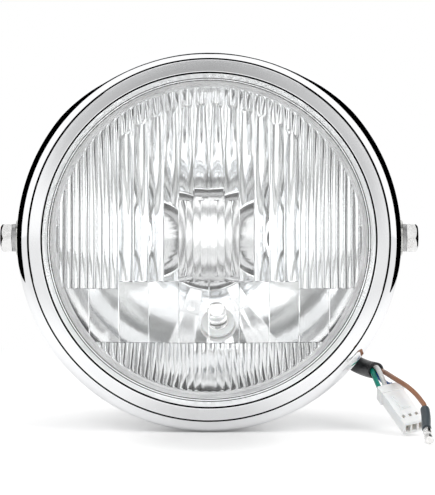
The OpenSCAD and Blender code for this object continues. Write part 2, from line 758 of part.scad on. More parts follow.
bowl();
rim();
rim_hook();
rim_brackets();
rim_nuts();
rim_screws();
lens();
lens_gasket();
reflector();
retainer_clips();
bulb_shield();
shield_rivets();
main_bulb_glass();
bulb_filaments();
bulb_base();
bulb_holder();
holder_terminals();
bulb_collar();
dust_boot();
side_bulb();
side_bulb_socket();
side_bulb_grommet();
boss(-1);  // left_boss
boss(1);  // right_boss
weld_nut(-1);  // left_weld_nut
weld_nut(1);  // right_weld_nut
plain_washer(-1);  // left_washer
plain_washer(1);  // right_washer
spring_washer(-1);  // left_spring_washer
spring_washer(1);  // right_spring_washer
hex_bolt(-1);  // left_bolt
hex_bolt(1);  // right_bolt
wire_grommet();
wire_sleeve();
inner_green_wire();
inner_white_wire();
inner_blue_wire();
inner_brown_wire();
green_wire();
white_wire();
blue_wire();
brown_wire();
plug_housing();
plug_terminals();
bullet_sleeve();
bullet_terminal();
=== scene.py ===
import math

import bmesh
import bpy
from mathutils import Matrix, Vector


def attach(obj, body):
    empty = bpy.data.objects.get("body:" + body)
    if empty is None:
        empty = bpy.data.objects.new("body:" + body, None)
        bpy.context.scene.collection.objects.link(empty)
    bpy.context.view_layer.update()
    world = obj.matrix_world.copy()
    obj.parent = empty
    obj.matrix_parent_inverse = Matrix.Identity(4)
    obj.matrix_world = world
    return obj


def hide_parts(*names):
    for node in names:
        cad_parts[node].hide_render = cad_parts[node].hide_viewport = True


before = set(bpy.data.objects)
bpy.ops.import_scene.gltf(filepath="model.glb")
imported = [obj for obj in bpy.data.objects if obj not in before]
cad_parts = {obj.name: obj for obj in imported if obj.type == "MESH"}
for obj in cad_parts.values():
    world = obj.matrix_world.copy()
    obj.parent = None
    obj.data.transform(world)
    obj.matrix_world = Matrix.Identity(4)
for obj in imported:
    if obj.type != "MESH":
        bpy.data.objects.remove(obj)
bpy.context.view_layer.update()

MM = 0.001

# Camera
# The lamp is looked at almost straight on, from a little above its axis and about a metre away,
# with a long lens, so that the rim stays a near perfect circle.
CAMERA_AIM = Vector((3.9, -30.0, -3.5)) * MM
CAMERA_DISTANCE = 0.9
CAMERA_RISE = math.radians(2.2)
camera_data = bpy.data.cameras.new("camera")
camera_data.lens = 141.2
camera_data.sensor_width = 36.0
camera_data.clip_start = 0.01
camera = bpy.data.objects.new("camera", camera_data)
bpy.context.collection.objects.link(camera)
camera.location = CAMERA_AIM + CAMERA_DISTANCE * Vector((0, -math.cos(CAMERA_RISE), math.sin(CAMERA_RISE)))
camera.rotation_euler = (math.pi / 2 - CAMERA_RISE, 0, 0)
bpy.context.scene.camera = camera


# Leads
# Four vinyl-covered leads leave the bowl through a soft sleeve. Three of them end in a plug and the
# brown one in a bullet terminal. Their routes are the ones that the solids follow.
def new_object(name, data, slot=None, replaced=()):
    piece = bpy.data.objects.new(name, data)
    bpy.context.collection.objects.link(piece)
    if slot:
        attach(piece, "root")
    if replaced:
        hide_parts(*replaced)
    return piece


def shader(name):
    """A new material, its nodes, its links and its Principled BSDF."""
    material = bpy.data.materials.new(name)
    material.use_nodes = True
    nodes = material.node_tree.nodes
    return material, nodes, material.node_tree.links, nodes["Principled BSDF"]


def group_sockets(name, inputs, outputs):
    """An empty node group with its sockets, and the nodes that stand for them inside it."""
    tree = bpy.data.node_groups.new(name, "ShaderNodeTree")
    for label, kind, value in inputs:
        socket = tree.interface.new_socket(label, in_out="INPUT", socket_type="NodeSocket" + kind)
        if value is not None:
            socket.default_value = value
    for label, kind in outputs:
        tree.interface.new_socket(label, in_out="OUTPUT", socket_type="NodeSocket" + kind)
    return tree, tree.nodes.new("NodeGroupInput"), tree.nodes.new("NodeGroupOutput")


def worked(nodes, kind, operation, *values):
    """A Math or VectorMath node. A value that is None leaves its socket to be linked."""
    node = nodes.new(kind)
    node.operation = operation
    for socket, value in zip(node.inputs, values):
        if value is not None:
            socket.default_value = value
    return node


# Places of a Mix node's sockets, whose names are shared between colours and values
COLOUR_A, COLOUR_B, COLOUR_RESULT = 6, 7, 2
VALUE_A, VALUE_B, VALUE_RESULT = 2, 3, 0


def handling_group():
    """Fine unevenness of a handled surface: a colour that drifts, a roughness in patches, a low relief."""
    tree, given, result = group_sockets(
        "handling",
        [("Vector", "Vector", None), ("Colour", "Color", (0.5, 0.5, 0.5, 1)),
         ("Drift", "Color", (0.4, 0.4, 0.4, 1)), ("Patch Scale", "Float", 60.0),
         ("Grain Scale", "Float", 900.0), ("Drift Amount", "Float", 0.3), ("Smooth", "Float", 0.3),
         ("Rough", "Float", 0.5)],
        [("Colour", "Color"), ("Roughness", "Float"), ("Relief", "Float")])
    nodes, links = tree.nodes, tree.links
    patches = nodes.new("ShaderNodeTexNoise")
    patches.inputs["Detail"].default_value = 4.0
    grain = nodes.new("ShaderNodeTexNoise")
    grain.inputs["Detail"].default_value = 2.0
    for noise, scale in ((patches, "Patch Scale"), (grain, "Grain Scale")):
        links.new(given.outputs["Vector"], noise.inputs["Vector"])
        links.new(given.outputs[scale], noise.inputs["Scale"])
    spread = nodes.new("ShaderNodeMapRange")
    spread.inputs["From Min"].default_value = 0.35
    spread.inputs["From Max"].default_value = 0.65
    links.new(patches.outputs["Fac"], spread.inputs["Value"])
    amount = worked(nodes, "ShaderNodeMath", "MULTIPLY")
    links.new(spread.outputs["Result"], amount.inputs[0])
    links.new(given.outputs["Drift Amount"], amount.inputs[1])
    colour = nodes.new("ShaderNodeMix")
    colour.data_type = "RGBA"
    links.new(amount.outputs[0], colour.inputs[0])
    links.new(given.outputs["Colour"], colour.inputs[COLOUR_A])
    links.new(given.outputs["Drift"], colour.inputs[COLOUR_B])
    rough = nodes.new("ShaderNodeMix")
    links.new(spread.outputs["Result"], rough.inputs[0])
    links.new(given.outputs["Smooth"], rough.inputs[VALUE_A])
    links.new(given.outputs["Rough"], rough.inputs[VALUE_B])
    links.new(colour.outputs[COLOUR_RESULT], result.inputs["Colour"])
    links.new(rough.outputs[VALUE_RESULT], result.inputs["Roughness"])
    links.new(grain.outputs["Fac"], result.inputs["Relief"])
    return tree


HANDLING = handling_group()


def handled(name, colour, drift, smooth, rough, patch=60.0, grain=900.0, amount=0.4, relief=0.05,
            depth=0.0001, metallic=0.0, **sockets):
    """A material whose colour and roughness wander a little, with a fine grain in relief."""
    material, nodes, links, surface = shader(name)
    place = nodes.new("ShaderNodeTexCoord")
    wear = nodes.new("ShaderNodeGroup")
    wear.node_tree = HANDLING
    for label, value in (("Colour", (*colour, 1)), ("Drift", (*drift, 1)), ("Patch Scale", patch),
                         ("Grain Scale", grain), ("Drift Amount", amount), ("Smooth", smooth),
                         ("Rough", rough)):
        wear.inputs[label].default_value = value
    bump = nodes.new("ShaderNodeBump")
    bump.inputs["Strength"].default_value = relief
    bump.inputs["Distance"].default_value = depth
    links.new(place.outputs["Object"], wear.inputs["Vector"])
    links.new(wear.outputs["Colour"], surface.inputs["Base Color"])
    links.new(wear.outputs["Roughness"], surface.inputs["Roughness"])
    links.new(wear.outputs["Relief"], bump.inputs["Height"])
    links.new(bump.outputs["Normal"], surface.inputs["Normal"])
    surface.inputs["Metallic"].default_value = metallic
    for label, value in sockets.items():
        surface.inputs[label.replace("_", " ")].default_value = value
    return material


def vinyl(name, colour, drift):
    return handled(name, colour, drift, 0.28, 0.42, patch=140.0, grain=2500.0, amount=0.5, relief=0.12)


GREEN = vinyl("green_vinyl", (0.0, 0.340, 0.245), (0.0, 0.285, 0.205))
WHITE = vinyl("white_vinyl", (0.95, 0.95, 0.94), (0.89, 0.89, 0.87))
BLUE = vinyl("blue_vinyl", (0.03, 0.13, 0.42), (0.02, 0.10, 0.32))
BROWN = vinyl("brown_vinyl", (0.330, 0.150, 0.078), (0.250, 0.108, 0.056))

EXIT_TURN = 41.4
EXIT_ANGLE = math.radians(EXIT_TURN)
EXIT_DIR = Vector((math.cos(EXIT_ANGLE), 0, -math.sin(EXIT_ANGLE)))
EXIT_R, EXIT_DEPTH = 86, 12
EXIT_POINT = EXIT_DIR * EXIT_R + Vector((0, EXIT_DEPTH, 0))
SLEEVE_PATH = [EXIT_POINT - 5 * EXIT_DIR, EXIT_POINT, EXIT_POINT + EXIT_DIR, EXIT_POINT + 2 * EXIT_DIR] + [
    Vector(p) for p in ((68.3, 11.2, -59.9), (71.2, 9, -61.5), (73.7, 6.1, -62.5), (75.6, 2.9, -63),
                        (77.1, -0.5, -63.2), (78.2, -3, -63.2), (79.5, -6.6, -63.2))]
BEND_UP = Vector((0.642, 0.235, 0.73))
LEAD_PLACE = 1.25
LEAD_R = 1.15
PLUG_BACK = Vector((83.7, -25, -70.4))
PLUG_FRONT = Vector((93.8, -48.5, -84.6))
PLUG_TURN = math.radians(12)
PLUG_DIR = (PLUG_FRONT - PLUG_BACK).normalized()
PLUG_LEVEL = Vector((0, 0, 1)).cross(PLUG_DIR).normalized()
PLUG_WIDE = math.cos(PLUG_TURN) * PLUG_LEVEL - math.sin(PLUG_TURN) * PLUG_LEVEL.cross(PLUG_DIR)
PLUG_PITCH = 3.2
BULLET_START = Vector((97.4, -57, -75.3))
BULLET_LEAD = Vector((0.1, -4.6, -2.7)).normalized()
SLEEVE_END = Vector((97, -69.6, -82.8))
BULLET_TIP = Vector((97, -80.6, -86.7))
BULLET_DIR = (BULLET_TIP - SLEEVE_END).normalized()


def in_sleeve(i, across, up):
    """A lead's place beside the sleeve's own route, at its i-th point."""
    before, after = SLEEVE_PATH[max(i - 1, 0)], SLEEVE_PATH[min(i + 1, len(SLEEVE_PATH) - 1)]
    along = (after - before).normalized()
    return SLEEVE_PATH[i] + across * BEND_UP.cross(along) + up * BEND_UP


def smooth_route(points, steps=4):
    """Points on one smooth curve through the given ones."""
    route = []
    for i in range(len(points) - 1):
        p0, p1, p2 = points[max(i - 1, 0)], points[i], points[i + 1]
        p3 = points[min(i + 2, len(points) - 1)]
        for k in range(steps):
            t = k / steps
            route.append(0.5 * (2 * p1 + (p2 - p0) * t + (2 * p0 - 5 * p1 + 4 * p2 - p3) * t * t
                                + (3 * p1 - p0 - 3 * p2 + p3) * t ** 3))
    return route + [points[-1]]


def lead(name, across, up, free, material, slot):
    """A lead through the sleeve and on through the free points, and its route in metres."""
    points = [in_sleeve(i, across, up) for i in range(1, len(SLEEVE_PATH))] + [Vector(p) for p in free]
    route = [p * MM for p in smooth_route(points)]
    curve = bpy.data.curves.new(name, "CURVE")
    curve.dimensions = "3D"
    curve.bevel_depth = LEAD_R * MM
    curve.bevel_resolution = 4
    curve.use_fill_caps = True
    spline = curve.splines.new("POLY")
    spline.points.add(len(route) - 1)
    for point, where in zip(spline.points, route):
        point.co = (*where, 1)
    spline.use_smooth = True
    curve.materials.append(material)
    return new_object("dressed_" + name, curve, slot, (name,)), route


def plug_entry(place):
    """The last two points of a lead that goes into the plug's row at place -1, 0 or 1."""
    end = PLUG_BACK + place * PLUG_PITCH * PLUG_WIDE
    return [end - 3 * PLUG_DIR, end]


green_wire, green_route = lead("green_wire", -LEAD_PLACE, -LEAD_PLACE, [
    (77.9, -10.9, -64.2), (78.4, -15.5, -66)] + plug_entry(-1), GREEN, "green_vinyl")
white_wire, white_route = lead("white_wire", -LEAD_PLACE, LEAD_PLACE, [
    (79.9, -10.5, -61.7), (80.6, -15, -63.2), (81.8, -19.2, -66.3)] + plug_entry(0), WHITE, "white_vinyl")
blue_wire, blue_route = lead("blue_wire", LEAD_PLACE, -LEAD_PLACE, [
    (80.9, -9.4, -66.2), (83, -13, -68), (85, -17.5, -68.8)] + plug_entry(1), BLUE, "blue_vinyl")
brown_wire, brown_route = lead("brown_wire", LEAD_PLACE, LEAD_PLACE, [
    (82.5, -11.2, -63.1), (83.8, -17, -63.5), (86.3, -25.5, -64.7), (89.2, -33, -66.1), (92.2, -40, -67.9),
    (95, -46, -70.5), (96.7, -52, -72.8), BULLET_START - 3 * BULLET_LEAD, BULLET_START],
    BROWN, "brown_vinyl")


# Wire sleeve
# A short length of soft black vinyl tube, pushed over the four leads and into the grommet.
# It bends forward where it leaves the bowl and is cut square at its mouth.
def finish_mesh(bm, name, sharp_angle=35.0):
    """Merges, turns the faces outwards, and shades smooth between sharp edges."""
    bmesh.ops.remove_doubles(bm, verts=bm.verts, dist=1e-7)
    bmesh.ops.recalc_face_normals(bm, faces=bm.faces)
    limit = math.radians(sharp_angle)
    for face in bm.faces:
        face.smooth = True
    for edge in bm.edges:
        edge.smooth = not (edge.is_manifold and edge.calc_face_angle(0) > limit)
    mesh = bpy.data.meshes.new(name)
    bm.to_mesh(mesh)
    bm.free()
    return mesh


def ring_points(route, i, radius, sides):
    """Points on a circle round a route, square to it."""
    along = (route[min(i + 1, len(route) - 1)] - route[max(i - 1, 0)]).normalized()
    across = along.cross(Vector((0, 0, 1))).normalized()
    up = across.cross(along)
    return [route[i] + radius * (math.cos(a) * across + math.sin(a) * up)
            for a in (2 * math.pi * k / sides for k in range(sides))]


def swept(route, sections, sides=32):
    """A tube along a route. sections gives each ring's place on the route, and its radius."""
    bm = bmesh.new()
    rings = [[bm.verts.new(p) for p in ring_points(route, i, radius, sides)] for i, radius in sections]
    for a, b in zip(rings, rings[1:]):
        for k in range(sides):
            j = (k + 1) % sides
            bm.faces.new((a[k], a[j], b[j], b[k]))
    return bm, rings


BLACK_VINYL = handled("black_vinyl", (0.018, 0.018, 0.020), (0.035, 0.035, 0.037), 0.32, 0.55, patch=90.0,
                      grain=1800.0, amount=0.6, relief=0.2)
SLEEVE_R = 4.0
SLEEVE_BORE = 3.15
sleeve_route = [p * MM for p in smooth_route(SLEEVE_PATH, 3)]
last_ring = len(sleeve_route) - 1
outside = [(i, SLEEVE_R * MM) for i in range(last_ring + 1)]
inside = [(i, SLEEVE_BORE * MM) for i in range(last_ring, -1, -1)]
bm, rings = swept(sleeve_route, outside + inside + [(0, SLEEVE_R * MM)])
wire_sleeve = new_object("dressed_wire_sleeve", finish_mesh(bm, "wire_sleeve"), "black_vinyl",
                         ("wire_sleeve",))
wire_sleeve.data.materials.append(BLACK_VINYL)


# Plug and bullet terminal
# The plug is a moulded nylon housing with three crimped strips inside. The bullet is a rolled and
# tinned brass pin, crimped on the brown lead under a soft grey sleeve.
def softened(node, material, slot, width=0.0, sharp=30.0):
    """A welded copy of a solid, with its flats dissolved and its edges eased by width millimetres."""
    bm = bmesh.new()
    bm.from_mesh(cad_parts[node].data)
    bmesh.ops.remove_doubles(bm, verts=bm.verts, dist=2e-6)
    bmesh.ops.dissolve_limit(bm, angle_limit=math.radians(0.6), verts=bm.verts, edges=bm.edges)
    mesh = finish_mesh(bm, node, sharp)
    mesh.materials.append(material)
    piece = new_object("dressed_" + node, mesh, slot, (node,))
    if width:
        ease = piece.modifiers.new("eased edges", "BEVEL")
        ease.width = width * MM
        ease.segments = 2
        ease.limit_method = "ANGLE"
        ease.angle_limit = math.radians(40)
        ease.harden_normals = True
    return piece


NYLON = handled("white_nylon", (0.97, 0.97, 0.965), (0.93, 0.93, 0.915), 0.38, 0.55, patch=120.0,
                grain=1500.0, amount=0.5, relief=0.12, Subsurface_Weight=0.08)
BRASS = handled("brass", (0.72, 0.53, 0.24), (0.55, 0.38, 0.16), 0.22, 0.42, patch=200.0, grain=2500.0,
                amount=0.5, relief=0.15, metallic=1.0)
TIN = handled("tin_plate", (0.84, 0.835, 0.825), (0.72, 0.715, 0.70), 0.14, 0.34, patch=260.0, grain=3000.0,
              amount=0.5, relief=0.15, metallic=1.0)
GREY_VINYL = handled("grey_vinyl", (0.055, 0.070, 0.080), (0.035, 0.045, 0.055), 0.35, 0.5, patch=160.0,
                     grain=2000.0, amount=0.5, relief=0.15)

plug_housing = softened("plug_housing", NYLON, "white_nylon", 0.35)
plug_terminals = softened("plug_terminals", BRASS, "brass", 0.12)
bullet_terminal = softened("bullet_terminal", TIN, "tin_plate", 0.15, 40)

GREY_R, GREY_EDGE_R, GREY_SHOULDER_R, GREY_BACK_BORE, GREY_FRONT_BORE = 2.1, 1.95, 1.75, 1.2, 1.35
grey_route = [p * MM for p in smooth_route(
    [BULLET_START, BULLET_START + 4 * BULLET_LEAD, Vector((97.3, -63.8, -79.9)),
     SLEEVE_END - 3 * BULLET_DIR, SLEEVE_END], 4)]
grey_last = len(grey_route) - 1
grey_sections = ([(0, GREY_BACK_BORE), (0, GREY_SHOULDER_R), (0, GREY_EDGE_R)]
                 + [(i, GREY_R) for i in range(1, grey_last + 1)] + [(grey_last, GREY_FRONT_BORE)])
bm, rings = swept(grey_route, [(i, radius * MM) for i, radius in grey_sections], 24)
bm.faces.new(rings[0])
bm.faces.new(rings[-1])
bullet_sleeve = new_object("dressed_bullet_sleeve", finish_mesh(bm, "bullet_sleeve"), "grey_vinyl",
                           ("bullet_sleeve",))
bullet_sleeve.data.materials.append(GREY_VINYL)


# Rim
# One chromed steel pressing: a turned-in lip round the glass, a flat band between two fine grooves,
# and a rounded shoulder that runs back over the front of the bowl.
def arc(cx, cy, radius, start, end, steps):
    """Points on an arc, with its angles in degrees."""
    turns = [math.radians(start + (end - start) * k / steps) for k in range(steps + 1)]
    return [(cx + radius * math.cos(a), cy + radius * math.sin(a)) for a in turns]


def turned(name, profile, segments=256, sharp=35.0):
    """Turns a closed profile of (radius, depth) in millimetres round the lamp's axis."""
    bm = bmesh.new()
    rings = []
    for radius, depth in profile:
        if radius < 1e-6:
            rings.append([bm.verts.new((0, depth * MM, 0))] * segments)
            continue
        rings.append([bm.verts.new((radius * math.cos(a) * MM, depth * MM, radius * math.sin(a) * MM))
                      for a in (2 * math.pi * k / segments for k in range(segments))])
    for a, b in zip(rings, rings[1:] + rings[:1]):
        for k in range(segments):
            j = (k + 1) % segments
            corners = [a[k], a[j], b[j], b[k]]
            corners = [v for i, v in enumerate(corners) if v not in corners[:i]]
            if len(corners) > 2:
                bm.faces.new(corners)
    return finish_mesh(bm, name, sharp)


def axis_group():
    """Finds a place's distance from the lamp's axis, and draws fine polishing marks that run round it."""
    tree, given, result = group_sockets(
        "round_the_axis", [("Vector", "Vector", None), ("Marks Scale", "Vector", (4200.0, 14.0, 4200.0))],
        [("Radius", "Float"), ("Marks", "Float")])
    nodes, links = tree.nodes, tree.links
    apart = nodes.new("ShaderNodeSeparateXYZ")
    flat = nodes.new("ShaderNodeCombineXYZ")
    radius = worked(nodes, "ShaderNodeVectorMath", "LENGTH")
    turn = worked(nodes, "ShaderNodeMath", "ARCTAN2")
    polar = nodes.new("ShaderNodeCombineXYZ")
    stretch = worked(nodes, "ShaderNodeVectorMath", "MULTIPLY")
    marks = nodes.new("ShaderNodeTexNoise")
    marks.inputs["Scale"].default_value = 1.0
    marks.inputs["Detail"].default_value = 3.0
    links.new(given.outputs["Vector"], apart.inputs[0])
    links.new(apart.outputs["X"], flat.inputs["X"])
    links.new(apart.outputs["Z"], flat.inputs["Z"])
    links.new(flat.outputs[0], radius.inputs[0])
    links.new(apart.outputs["Z"], turn.inputs[0])
    links.new(apart.outputs["X"], turn.inputs[1])
    links.new(radius.outputs["Value"], polar.inputs["X"])
    links.new(turn.outputs[0], polar.inputs["Y"])
    links.new(apart.outputs["Y"], polar.inputs["Z"])
    links.new(polar.outputs[0], stretch.inputs[0])
    links.new(given.outputs["Marks Scale"], stretch.inputs[1])
    links.new(stretch.outputs[0], marks.inputs["Vector"])
    links.new(radius.outputs["Value"], result.inputs["Radius"])
    links.new(marks.outputs["Fac"], result.inputs["Marks"])
    return tree


ROUND_THE_AXIS = axis_group()


def chrome(name, colour, relief, strength, smooth=0.035, rough=0.075):
    """Bright plate: faint haze in patches, and polishing marks relief metres deep."""
    material, nodes, links, surface = shader(name)
    place = nodes.new("ShaderNodeTexCoord")
    polish = nodes.new("ShaderNodeGroup")
    polish.node_tree = ROUND_THE_AXIS
    haze = nodes.new("ShaderNodeGroup")
    haze.node_tree = HANDLING
    for label, value in (("Colour", (*colour, 1)), ("Drift", tuple(0.93 * c for c in colour) + (1,)),
                         ("Patch Scale", 22.0), ("Grain Scale", 1500.0), ("Drift Amount", 0.5),
                         ("Smooth", smooth), ("Rough", rough)):
        haze.inputs[label].default_value = value
    bump = nodes.new("ShaderNodeBump")
    bump.inputs["Strength"].default_value = strength
    bump.inputs["Distance"].default_value = relief
    links.new(place.outputs["Object"], polish.inputs["Vector"])
    links.new(place.outputs["Object"], haze.inputs["Vector"])
    links.new(haze.outputs["Colour"], surface.inputs["Base Color"])
    links.new(haze.outputs["Roughness"], surface.inputs["Roughness"])
    links.new(polish.outputs["Marks"], bump.inputs["Height"])
    links.new(bump.outputs["Normal"], surface.inputs["Normal"])
    surface.inputs["Metallic"].default_value = 1.0
    return material


def finish_part(piece, material, wanted):
    """Gives a material to the faces that wanted picks by distance from the axis, depth and facing."""
    piece.data.materials.append(material)
    for face in piece.data.polygons:
        centre = face.center / MM
        if wanted(math.hypot(centre.x, centre.z), centre.y, face.normal.y):
            face.material_index = len(piece.data.materials) - 1


# Sheet thickness, in millimetres as are all sizes here
SHEET = 1.0
RIM_R = 88.99
RIM_FACE = -39.9
ROLL_R = 6.5
ROLL_AT = (RIM_R - ROLL_R, RIM_FACE + 2 + ROLL_R)
INNER_GROOVE, OUTER_GROOVE = 76.95, 83.3
GROOVE_W, FLOOR_HALF = 0.4, 0.2
LIP_STEPS, LIP_LINE_W = (73.65, 74.5), 0.14
LIP_BACK = -32.7

RIM_CHROME = chrome("rim_chrome", (0.86, 0.865, 0.875), 0.00001, 0.25)
BAND_CHROME = chrome("rim_band", (0.86, 0.865, 0.875), 0.00002, 0.5, 0.10, 0.16)
# The lip is satin, and its plate is also painted lighter than the rest of the rim's chrome, as a painted
# highlight
SATIN_LIP_HIGHLIGHT = chrome("rim_lip", (0.96, 0.965, 0.97), 0.00001, 0.3, 0.24, 0.34)
# The grooves, and the fine steps of the lip, are too narrow for light to get into
GROOVE_SHADE = handled("groove_shade", (0.003, 0.003, 0.003), (0.006, 0.006, 0.006), 0.6, 0.8, patch=300.0,
                       grain=3000.0, amount=0.5, relief=0.1, Specular_IOR_Level=0.0)


def on_rim_face(radius, depth, facing):
    """The front of the rim, without the faces that look backwards."""
    return depth <= LIP_BACK and radius <= OUTER_GROOVE + GROOVE_W and facing <= 0.2


def on_band(radius, depth, facing):
    return on_rim_face(radius, depth, facing) and radius > INNER_GROOVE


def on_lip(radius, depth, facing):
    return on_rim_face(radius, depth, facing) and radius <= INNER_GROOVE


def on_dark_line(radius, depth, facing):
    in_groove = min(abs(radius - groove) for groove in (INNER_GROOVE, OUTER_GROOVE)) < GROOVE_W
    on_step = min(abs(radius - step) for step in LIP_STEPS) < LIP_LINE_W
    return on_rim_face(radius, depth, facing) and (in_groove or on_step)


rim_outside = (
    [(73.2, -32.6), (73.25, -33.2), (73.5, -33.9), (73.8, -34.6), (74.35, -35.3), (74.65, -36.0),
     (75.5, -37.6), (76.1, -38.7), (76.4, -39.1), (INNER_GROOVE - GROOVE_W, -39.3),
     (INNER_GROOVE - FLOOR_HALF, -38.9), (INNER_GROOVE + FLOOR_HALF, -38.9),
     (INNER_GROOVE + GROOVE_W, -39.75), (77.6, -39.9), (78.0, -39.85), (80.0, -39.35), (82.0, -38.8),
     (82.7, -38.6), (OUTER_GROOVE - GROOVE_W, -38.4), (OUTER_GROOVE - FLOOR_HALF, -37.6),
     (OUTER_GROOVE + FLOOR_HALF, -37.5), (OUTER_GROOVE + GROOVE_W, -37.85)]
    + arc(*ROLL_AT, ROLL_R, -67, 0, 20)
    + [(RIM_R, -26), (RIM_R, -20), (RIM_R, -17), (88.9, -15), (88.6, -13.2), (88.2, -12.3), (87.75, -12.0)])
rim_inside = (
    [(87.3, -12.2), (87.3, -13), (87.9, -14.6), (88, -17), (88, -26)]
    + arc(*ROLL_AT, ROLL_R - SHEET, 0, -80, 14)
    + [(83.1, -36.5), (82.5, -37.4), (77.7, -38.7), (77.1, -37.9), (76.5, -38.2), (75.5, -35.9),
       (74.3, -32.6)])
rim_mesh = turned("rim", rim_outside + rim_inside, segments=320, sharp=14.0)
rim = new_object("dressed_rim", rim_mesh, "rim_chrome", ("rim",))
rim.data.materials.append(RIM_CHROME)
finish_part(rim, BAND_CHROME, on_band)
finish_part(rim, SATIN_LIP_HIGHLIGHT, on_lip)
finish_part(rim, GROOVE_SHADE, on_dark_line)


# Bowl
# A deep-drawn steel bowl, chromed, with a rolled front edge. It has holes for the side bolts, the
# rim's screws, the leads and water, and a slot at the top for the rim's hook.
BOWL_CHROME = chrome("bowl_chrome", (0.84, 0.845, 0.855), 0.00001, 0.12)
BOWL_R = 84.9
BOWL_CORNER = 60.0
CORNER_DEPTH = 14
BOWL_BACK = CORNER_DEPTH + BOWL_CORNER
BOWL_TAPER = 0.065
BOWL_FLAT = BOWL_R - CORNER_DEPTH * BOWL_TAPER - BOWL_CORNER


def bowl_wall(depth):
    return BOWL_R - SHEET - depth * BOWL_TAPER


def add_cylinder(bm, low, high, across, up, radius, sides=48):
    """A capped cylinder between two points, in millimetres. across and up are square to it."""
    rings = [[bm.verts.new((centre + radius * (math.cos(a) * across + math.sin(a) * up)) * MM)
              for a in (2 * math.pi * k / sides for k in range(sides))] for centre in (low, high)]
    for k in range(sides):
        j = (k + 1) % sides
        bm.faces.new((rings[0][k], rings[0][j], rings[1][j], rings[1][k]))
    bm.faces.new(rings[0])
    bm.faces.new(rings[1])


def cut(piece, cutter_bm):
    """Cuts a closed mesh with another, and shades the result smooth again."""
    cutter = bpy.data.objects.new("cutter", finish_mesh(cutter_bm, "cutter"))
    bpy.context.collection.objects.link(cutter)
    boolean = piece.modifiers.new("cut", "BOOLEAN")
    boolean.operation = "DIFFERENCE"
    boolean.solver = "EXACT"
    boolean.object = cutter
    holed = bpy.data.meshes.new_from_object(piece.evaluated_get(bpy.context.evaluated_depsgraph_get()))
    piece.modifiers.clear()
    bm = bmesh.new()
    bm.from_mesh(holed)
    mesh = finish_mesh(bm, piece.name)
    for material in piece.data.materials:
        mesh.materials.append(material)
    piece.data = mesh
    bpy.data.objects.remove(cutter)


bowl_profile = (
    [(bowl_wall(-20), -20), (87.6, -20), (87.9, -19.8), (88, -19.3), (87.9, -18.9), (87.5, -18.6),
     (86.6, -18.3), (86.3, -17.9), (bowl_wall(-16.6) + SHEET, -16.6), (bowl_wall(0) + SHEET, 0)]
    + arc(BOWL_FLAT, CORNER_DEPTH, BOWL_CORNER, 0, 90, 30)
    + [(12, BOWL_BACK), (0, BOWL_BACK), (0, BOWL_BACK - SHEET), (12, BOWL_BACK - SHEET)]
    + arc(BOWL_FLAT, CORNER_DEPTH, BOWL_CORNER - SHEET, 90, 0, 30))
bowl = new_object("dressed_bowl", turned("bowl", bowl_profile), "bowl_chrome", ("bowl",))
bowl.data.materials.append(BOWL_CHROME)

# Each hole: its angle up from +X, its depth and its radius
BOLT_HOLE, SCREW_HOLE, GROMMET_HOLE, DRAIN_HOLE = 4.3, 2.8, 5.5, 2.5
BOWL_HOLES = [(0, 0, BOLT_HOLE), (180, 0, BOLT_HOLE), (-60, -3, SCREW_HOLE), (-120, -3, SCREW_HOLE),
              (-EXIT_TURN, EXIT_DEPTH, GROMMET_HOLE), (-90, 30, DRAIN_HOLE)]
DRILL_FROM, DRILL_TO = 60, 100
HOOK_SLOT, HOOK_SLOT_AT = (14, 2.4, 14), (0, -4.4, 85)
bm = bmesh.new()
for angle, depth, radius in BOWL_HOLES:
    out = Vector((math.cos(math.radians(angle)), 0, math.sin(math.radians(angle))))
    along_y = Vector((0, 1, 0))
    add_cylinder(bm, out * DRILL_FROM + depth * along_y, out * DRILL_TO + depth * along_y, along_y,
                 along_y.cross(out), radius)
for corner in bmesh.ops.create_cube(bm, size=1.0)["verts"]:
    corner.co = Vector([c * size + at for c, size, at in zip(corner.co, HOOK_SLOT, HOOK_SLOT_AT)]) * MM
cut(bowl, bm)


# Mirror
# A pressed steel parabola with a vacuum-coated bright face, a flange that is trapped behind the
# glass, a neck for the bulb's collar, and a hole for the small side bulb.
POLE = 21.8
FOCAL = 26.0
SIDE_BULB_R = 42.0
SIDE_BULB_TURN = math.radians(5.6)
SIDE_BULB_LEAN = math.atan(SIDE_BULB_R / (2 * FOCAL))
side_foot = Vector((SIDE_BULB_R * math.sin(SIDE_BULB_TURN), POLE - SIDE_BULB_R ** 2 / (4 * FOCAL),
                    -SIDE_BULB_R * math.cos(SIDE_BULB_TURN)))
side_axis = Vector((-math.sin(SIDE_BULB_LEAN) * math.sin(SIDE_BULB_TURN), -math.cos(SIDE_BULB_LEAN),
                    math.sin(SIDE_BULB_LEAN) * math.cos(SIDE_BULB_TURN)))


def mirror_depth(radius):
    return POLE - radius * radius / (4 * FOCAL)


def mirror_point(radius, thickness):
    """A point of the profile that stands thickness behind the bright face."""
    lean = math.atan(radius / (2 * FOCAL))
    return (radius + thickness * math.sin(lean), mirror_depth(radius) + thickness * math.cos(lean))


def fill_ramp(ramp, stops):
    """Gives a colour ramp its greys. stops are (place, grey) pairs in rising order."""
    for element, (place, grey) in ((ramp.elements[0], stops[0]), (ramp.elements[1], stops[-1])):
        element.position = place
        element.color = (grey, grey, grey, 1)
    for place, grey in stops[1:-1]:
        ramp.elements.new(place).color = (grey, grey, grey, 1)


